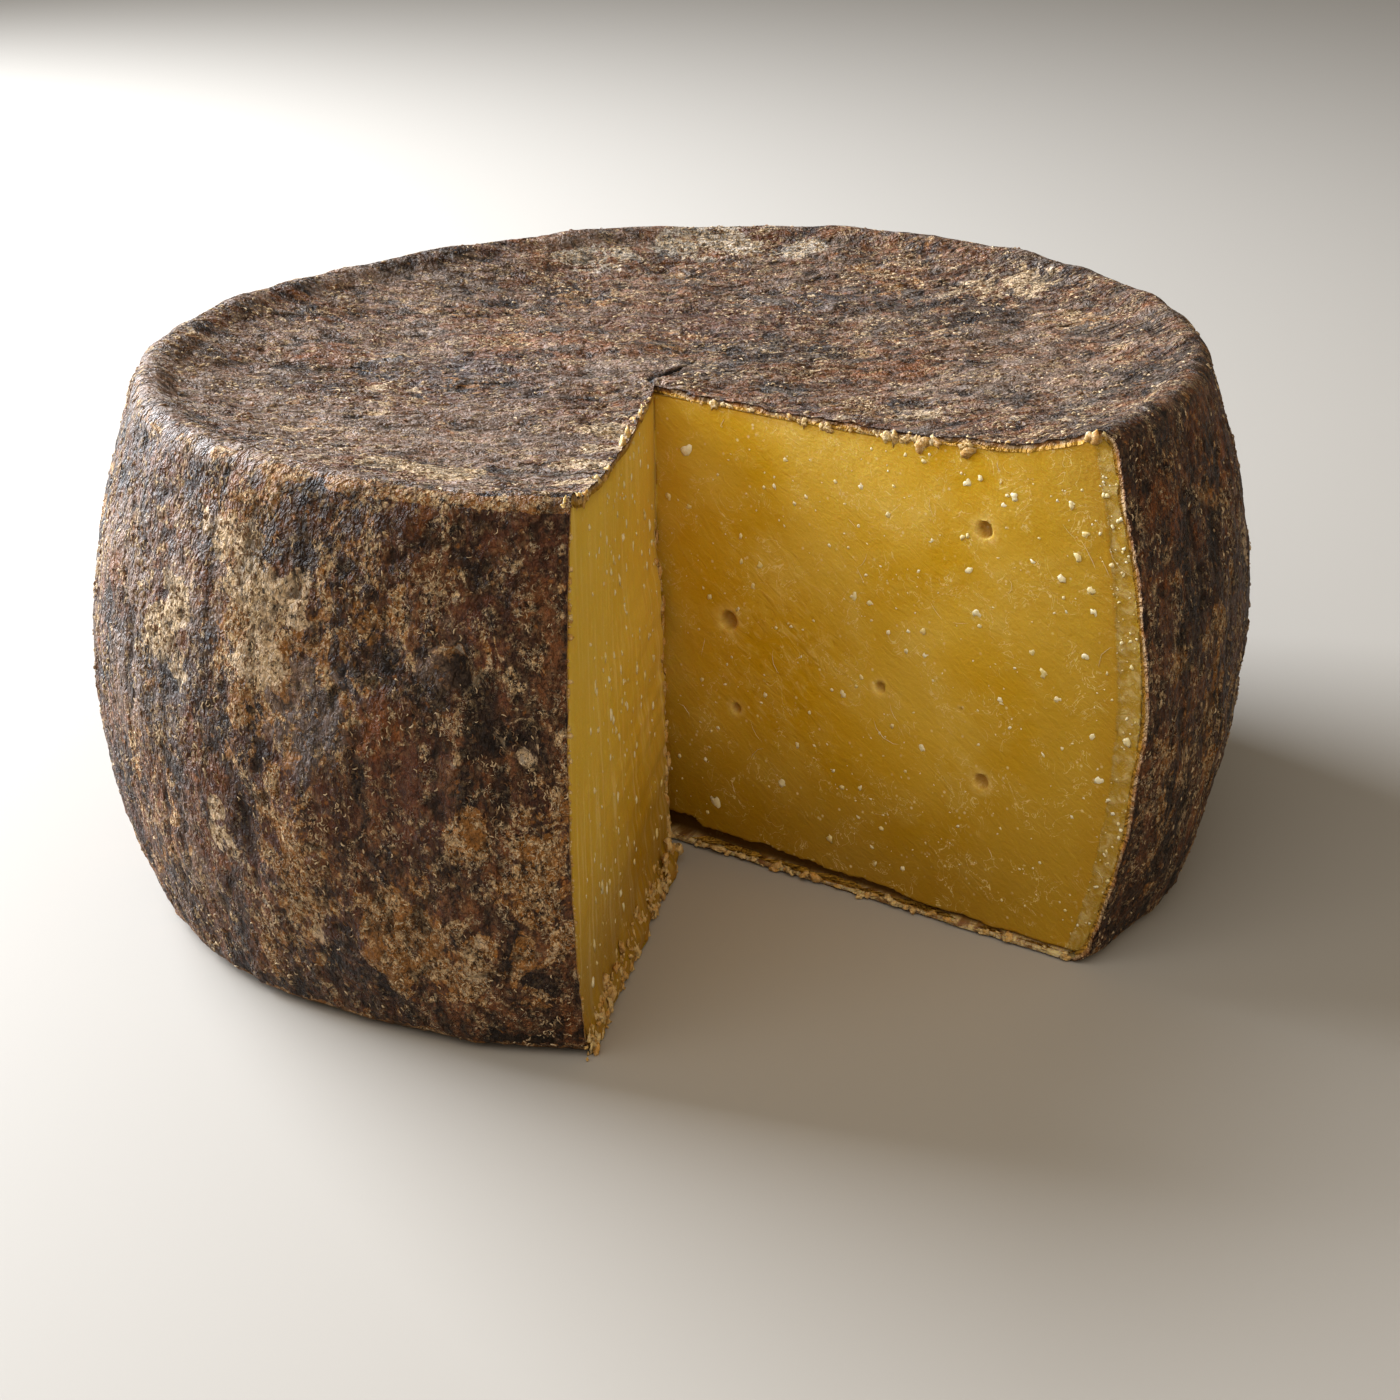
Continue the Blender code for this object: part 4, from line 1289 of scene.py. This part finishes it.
def rind_material():
    """Dry leathery rind: soft washes of brown, and over them gold and cream crusts with clear borders."""
    nodes = Nodes("rind")
    times, plus, less, line, span, noise = (
        nodes.times, nodes.plus, nodes.less, nodes.line, nodes.span, nodes.noise)
    spot = nodes.position()
    side = nodes.attribute("side")
    flat = less(1.0, side)
    # Cells of about 1.4 mm, bent so that none has a straight border, each with random numbers of its own.
    shove = nodes.add("VectorMath", {"operation": "MULTIPLY_ADD"})
    swirl = noise(spot, 520.0, 2.0, output="Color")
    for socket, value in zip(shove.inputs, (swirl, (0.0022, 0.0022, 0.0022), spot)):
        nodes.feed(socket, value)
    bent = shove.outputs["Vector"]
    grain = nodes.cells(bent, 700.0)
    pick = nodes.add("SeparateColor", Color=grain.outputs["Color"]).outputs
    body = span(grain.outputs["Distance"], 0.75, 0.10)
    drawn = nodes.mapped(spot, (1.0, 1.0, 0.62))
    fine = noise(drawn, 900.0, 3.0, 0.78, 0.5)
    ragged = noise(spot, 170.0, 4.0, 0.74, 0.5)
    broad = noise(nodes.mapped(spot, (1.0, 1.0, 0.5)), 70.0, 5.0, 0.70, 0.6)
    streak = noise(nodes.mapped(bent, (1.0, 1.0, 0.10)), 230.0, 3.0, 0.6, 0.2)
    border = times(noise(nodes.mapped(spot, (1.0, 1.0, 0.65)), 115.0, 4.0, 0.66, 1.1), 1.7)
    # The washes, strong where the mesh's attributes say so.
    nodes.color = nodes.mix(span(line(pick["Red"], 0.08, broad), 0.42, 0.66), BARK_DARK, BARK)
    for kind, tint, share in (
        ("red", BARK_RED, 0.75), ("grey", BARK_GREY, 0.62), ("dark", BARK_DARK, 0.64),
        ("blue", BLUE_GREY, 0.36), ("rust", RUST, 0.50),
    ):
        nodes.paint(span(plus(border, nodes.attribute(kind)), 1.14, 1.46, 0.0, share), tint)
    nodes.paint(times(span(streak, 0.54, 0.38, 0.0, 0.60), side), BARK_DARK)
    # Crusts with clear borders.
    crusts = []
    for kind, tint, share in (("gold", GOLD, 0.70), ("cream", CREAM, 0.88), ("mould", MOULD, 0.75)):
        crusts.append(span(line(fine, 0.25, plus(border, nodes.attribute(kind))), 1.38, 1.50))
        nodes.paint(times(crusts[-1], share), tint)
    crust = nodes.math("MAXIMUM", nodes.math("MAXIMUM", crusts[0], crusts[1]), crusts[2])
    nodes.paint(times(span(pick["Blue"], 0.92, 0.98, 0.0, 0.50), body), linear(178, 114, 50))
    # Pale specks where the rind is rough: partly pale crust and partly painted glints.
    where = line(less(broad, 0.5), 0.55, line(crust, 0.12, ragged))
    rough = span(where, 0.49, 0.66, 0.10, 1.0)
    specks = span(line(pick["Green"], 0.35, fine), 0.62, 0.90, 0.0, 0.95)
    nodes.paint(times(specks, rough), linear(214, 178, 130))
    # Plates on the top: painted highlight on their raised parts and painted shade between them.
    plate = noise(nodes.mapped(spot, (0.42, 1.25, 1.0), (0, 0, 0.12)), 105.0, 3.0, 0.60, 1.5)
    nodes.paint(times(span(plate, 0.50, 0.60, 0.0, 0.22), flat), linear(190, 172, 156))
    nodes.paint(times(span(plate, 0.47, 0.38, 0.0, 0.28), flat), BARK_DARK)
    # Thin pale curls.
    curl = nodes.math("ABSOLUTE", less(noise(spot, 300.0, 2.0, 0.6, 2.4), 0.5))
    curls = times(span(curl, 0.024, 0.008), span(where, 0.50, 0.62))
    nodes.paint(times(curls, 0.80), linear(228, 208, 176))
    # Painted shade in the gaps between grains, where the relief is deep, and in the gash.
    gaps = span(line(body, 0.15, fine), 0.55, 0.38)
    nodes.paint(times(gaps, line(rough, 0.58, 0.34)), CREVICE_SHADE)
    nodes.paint(span(nodes.attribute("crest"), 0.40, 0.08, 0.0, 0.7), CREVICE_SHADE)
    nodes.paint(span(nodes.attribute("gash"), 0.05, 0.40, 0.0, 0.95), CREVICE_SHADE)
    # The cut edge: brown outside, pale within, and yellow beside the paste.
    deep = nodes.attribute("deep")
    inside = nodes.mix(span(ragged, 0.40, 0.62), linear(164, 112, 62), linear(216, 182, 136))
    section = nodes.mix(span(deep, 0.06, 0.30), linear(86, 50, 26), inside)
    section = nodes.mix(span(deep, 0.42, 0.72), section, linear(200, 148, 48))
    nodes.paint(span(deep, 0.02, 0.08), section)
    nodes.shade(Specular_IOR_Level=0.22)
    # The bumps, lower on the top but for its plates.
    crumb = noise(drawn, 640.0, 1.8, 0.58, 0.9)
    lump = noise(nodes.mapped(spot, (1.0, 1.0, 0.6)), 210.0, 2.0, 0.5, 0.6)
    height = less(line(lump, 0.9, times(crumb, 1.2)), 1.05)
    height = times(height, line(flat, -0.40, 1.0))
    height = line(times(flat, 2.8), less(plate, 0.5), height)
    height = times(height, span(ragged, 0.42, 0.64, 0.56, 1.25))
    return nodes.finish(span(rough, 0.2, 0.9, 0.52, 0.88), height, 0.0060, 1.0)


def paste_material():
    """Waxy yellow paste: knife smears, pale flecks, a glassy strip by the rind, halos round the eyes."""
    nodes = Nodes("paste")
    times, plus, less, line, span, noise = (
        nodes.times, nodes.plus, nodes.less, nodes.line, nodes.span, nodes.noise)
    place = nodes.attribute("place", "Vector")
    left = nodes.attribute("left")
    on_right = less(1.0, left)
    knife = nodes.attribute("knife")
    smeared = nodes.attribute("smear")
    # The plain paste.
    broad = noise(place, 22.0, 2.0, 0.5, 0.3)
    middle = noise(place, 75.0, 4.0, 0.6, 0.4)
    nodes.color = nodes.mix(span(broad, 0.34, 0.64), linear(199, 153, 13), linear(210, 170, 57))
    nodes.paint(span(middle, 0.45, 0.75, 0.0, 0.35), linear(216, 185, 92))
    # Knife smears across the right face.
    falling = nodes.mapped(place, turn=(0, 0, math.radians(35.0)))
    streaks = noise(nodes.mapped(falling, (0.30, 1.0, 1.0)), 330.0, 4.0, 0.65, 1.8)
    wide = noise(nodes.mapped(falling, (0.35, 1.0, 1.0)), 120.0, 3.0, 0.6, 1.4)
    smear = times(span(streaks, 0.50, 0.70), span(wide, 0.42, 0.62))
    nodes.paint(times(smear, times(smeared, 0.46)), linear(236, 208, 130))
    nodes.paint(times(span(wide, 0.50, 0.72, 0.0, 0.26), smeared), linear(230, 196, 98))
    nodes.paint(times(span(streaks, 0.48, 0.34, 0.0, 0.40), smeared), linear(166, 120, 6))
    # Upright streaks on the left face, with painted light on its upper part; painted shade towards the foot,
    # and darker outwards on the right face, partly painted shade and partly the paste's browning by the rind.
    upright = noise(nodes.mapped(place, (1.0, 0.08, 1.0)), 300.0, 3.0, 0.6, 0.2)
    nodes.paint(times(times(span(upright, 0.50, 0.68), left), 0.70), linear(238, 212, 146))
    rise = nodes.add("SeparateXYZ", Vector=place).outputs
    nodes.paint(times(span(rise["Y"], 0.01, 0.10, 0.0, 0.60), left), linear(238, 203, 84))
    nodes.paint(span(rise["Y"], 0.065, 0.0, 0.0, 0.80), linear(136, 96, 2))
    nodes.paint(times(span(rise["X"], 0.105, 0.162, 0.0, 0.80), on_right), linear(176, 136, 26))
    # Pale flecks and fine veins.
    fleck = span(nodes.cells(place, 330.0).outputs["Distance"], 0.22, 0.06)
    fleck = times(fleck, span(noise(place, 90.0, 2.0), 0.50, 0.64))
    nodes.paint(times(fleck, 0.7), linear(240, 222, 170))
    vein = nodes.math("ABSOLUTE", less(noise(place, 110.0, 3.0, 0.6, 1.6), 0.5))
    vein = times(span(vein, 0.012, 0.003), span(middle, 0.44, 0.60, 0.0, 0.60))
    nodes.paint(times(vein, on_right), linear(238, 214, 146))
    # Beside the knife mark, the glassy strip between it and the rind, and the paste next to the rind.
    band = times(span(knife, -0.50, -0.05), span(knife, 0.02, -0.02))
    nodes.paint(times(band, 0.45), linear(170, 125, 18))
    cloudy = noise(place, 240.0, 5.0, 0.7, 0.3)
    glass = nodes.mix(span(cloudy, 0.42, 0.66), linear(158, 124, 44), linear(196, 170, 108))
    glassy = span(line(less(cloudy, 0.5), 0.12, knife), -0.02, 0.03)
    nodes.paint(times(glassy, span(cloudy, 0.35, 0.65, 0.40, 0.85)), glass)
    near = plus(nodes.attribute("edge"), times(less(middle, 0.5), 0.2))
    nodes.paint(times(span(near, 0.30, 0.05, 0.0, 0.45), less(1.0, glassy)), linear(166, 112, 30))
    # Gas holes and their halos, the torn pocket, and the foot's strip and crack.
    rays = span(noise(place, 260.0, 3.0, 0.6, 1.2), 0.35, 0.65, 0.25, 1.0)
    nodes.paint(times(times(nodes.attribute("halo"), rays), 0.42), linear(232, 202, 124))
    # Painted shade inside the gas holes.
    nodes.paint(times(nodes.attribute("eye"), 0.55), linear(160, 104, 14))
    nodes.paint(times(nodes.attribute("torn"), 0.45), linear(228, 198, 128))
    crumbly = nodes.mix(span(cloudy, 0.40, 0.60), linear(120, 82, 44), linear(214, 184, 130))
    nodes.paint(nodes.attribute("strip"), crumbly)
    # Painted shade in the crack at the foot.
    nodes.paint(times(nodes.attribute("crack"), 0.85), linear(70, 42, 10))
    nodes.shade(Specular_IOR_Level=0.25)
    gloss = line(glassy, -0.22, span(middle, 0.3, 0.7, 0.46, 0.62))
    height = plus(times(streaks, 0.6), times(noise(place, 900.0, 3.0, 0.55), 0.35))
    height = line(times(cloudy, 1.3), glassy, plus(height, times(middle, 0.9)))
    return nodes.finish(gloss, height, 0.0007, 0.8, (0.35, (1.0, 0.50, 0.08), 0.005))


def flake_material():
    """Curled slivers of dry rind, from brown to cream."""
    nodes = Nodes("rind_flakes")
    tone = nodes.attribute("tone")
    fine = nodes.noise(nodes.position(), 900.0, 2.0, 0.6)
    nodes.color = nodes.mix(nodes.span(tone, 0.15, 1.0), linear(104, 74, 48), linear(204, 180, 144))
    nodes.paint(nodes.span(fine, 0.5, 0.3, 0.0, 0.5), BARK)
    nodes.shade(Specular_IOR_Level=0.25)
    return nodes.finish(nodes.span(fine, 0.3, 0.7, 0.85, 0.65), fine, 0.0004, 0.8)


def crystal_material():
    """Off-white crystals that let a little light through."""
    nodes = Nodes("crystals")
    fine = nodes.noise(nodes.position(), 1200.0, 3.0, 0.6)
    nodes.color = nodes.mix(nodes.attribute("tone"), linear(222, 200, 136), linear(240, 230, 198))
    nodes.paint(nodes.span(fine, 0.3, 0.6, 0.32, 0.0), linear(212, 182, 96))
    rough = nodes.span(fine, 0.3, 0.7, 0.35, 0.6)
    return nodes.finish(rough, fine, 0.0003, 0.8, (0.3, (1.0, 0.8, 0.5), 0.001))


def crumb_material():
    """Crumbs of paste and dry rind, from ochre to cream."""
    nodes = Nodes("crumbs")
    tone = nodes.attribute("tone")
    fine = nodes.noise(nodes.position(), 700.0, 4.0, 0.65)
    nodes.color = nodes.mix(nodes.span(tone, 0.0, 1.0), linear(196, 142, 56), linear(222, 184, 118))
    nodes.paint(nodes.span(fine, 0.40, 0.70, 0.0, 0.4), linear(236, 212, 168))
    nodes.paint(nodes.span(fine, 0.45, 0.28, 0.0, 0.6), linear(160, 108, 44))
    rough = nodes.span(fine, 0.3, 0.7, 0.65, 0.45)
    return nodes.finish(rough, fine, 0.0012, 1.0, (0.35, (1.0, 0.8, 0.5), 0.002))


# ================================================================ stage
def make_stage():
    bpy.ops.mesh.primitive_plane_add(size=FLOOR_SIZE, location=(0.0, 2.0, 0.0))
    floor = bpy.context.object
    floor.name = "floor"
    nodes = Nodes("floor")
    nodes.shade(Base_Color=FLOOR_COLOR, Roughness=0.75)
    floor.data.materials.append(nodes.material)
    world = bpy.data.worlds.new("studio")
    world.use_nodes = True
    back = world.node_tree.nodes["Background"]
    back.inputs["Color"].default_value = WORLD_COLOR
    back.inputs["Strength"].default_value = WORLD_STRENGTH
    bpy.context.scene.world = world
    for name, light in LIGHTS.items():
        add_light(name, *light)
    bpy.context.scene.view_settings.view_transform = "Standard"


def add_light(name, place, size, power, color):
    """An area light that is aimed at the middle of the wheel."""
    light = bpy.data.lights.new(name, "AREA")
    light.shape = "RECTANGLE"
    light.size, light.size_y = size
    light.energy = power
    light.color = color
    lamp = bpy.data.objects.new(name, light)
    lamp.location = place
    lamp.rotation_euler = (Vector(LIGHTS_AIM) - Vector(place)).to_track_quat("-Z", "Y").to_euler()
    bpy.context.scene.collection.objects.link(lamp)


def make_camera():
    """The camera that the wheel's outline, rim and cut edges give, for a square frame."""
    flat = math.cos(CAMERA_PITCH)
    ahead = Vector((math.sin(CAMERA_YAW) * flat, math.cos(CAMERA_YAW) * flat, -math.sin(CAMERA_PITCH)))
    level = Vector((math.cos(CAMERA_YAW), -math.sin(CAMERA_YAW), 0.0))
    upward = level.cross(ahead)
    right = level * math.cos(CAMERA_ROLL) + upward * math.sin(CAMERA_ROLL)
    up = upward * math.cos(CAMERA_ROLL) - level * math.sin(CAMERA_ROLL)
    camera = bpy.data.objects.new("camera", bpy.data.cameras.new("camera"))
    turn = Matrix((right, up, -ahead)).transposed().to_4x4()
    camera.matrix_world = Matrix.Translation((AXIS[0], AXIS[1] - CAMERA_BACK, CAMERA_HEIGHT)) @ turn
    camera.data.sensor_width = SENSOR
    camera.data.lens = FOCAL_PIXELS / FRAME_PIXELS * SENSOR
    bpy.context.scene.collection.objects.link(camera)
    bpy.context.scene.camera = camera


def attach(piece, material):
    piece.data.materials.append(material)
    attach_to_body(piece, BODY)
    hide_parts(NODE)


def main():
    make_stage()
    make_camera()
    skin = Skin()
    rind, relief, tints = make_rind(skin)
    attach(rind, rind_material())
    attach(make_paste(skin), paste_material())
    flakes = flake_material()
    for name, on_side, count, seed in (
        ("rind_flakes_side", True, FLAKES_ON_SIDE, 61), ("rind_flakes_top", False, FLAKES_ON_TOP, 67),
    ):
        attach(make_flakes(name, skin, relief, tints, on_side, count, seed), flakes)
    crystals = crystal_material()
    attach(make_crystals(), crystals)
    attach(make_threads(), crystals)
    attach(make_crumbs(), crumb_material())


main()
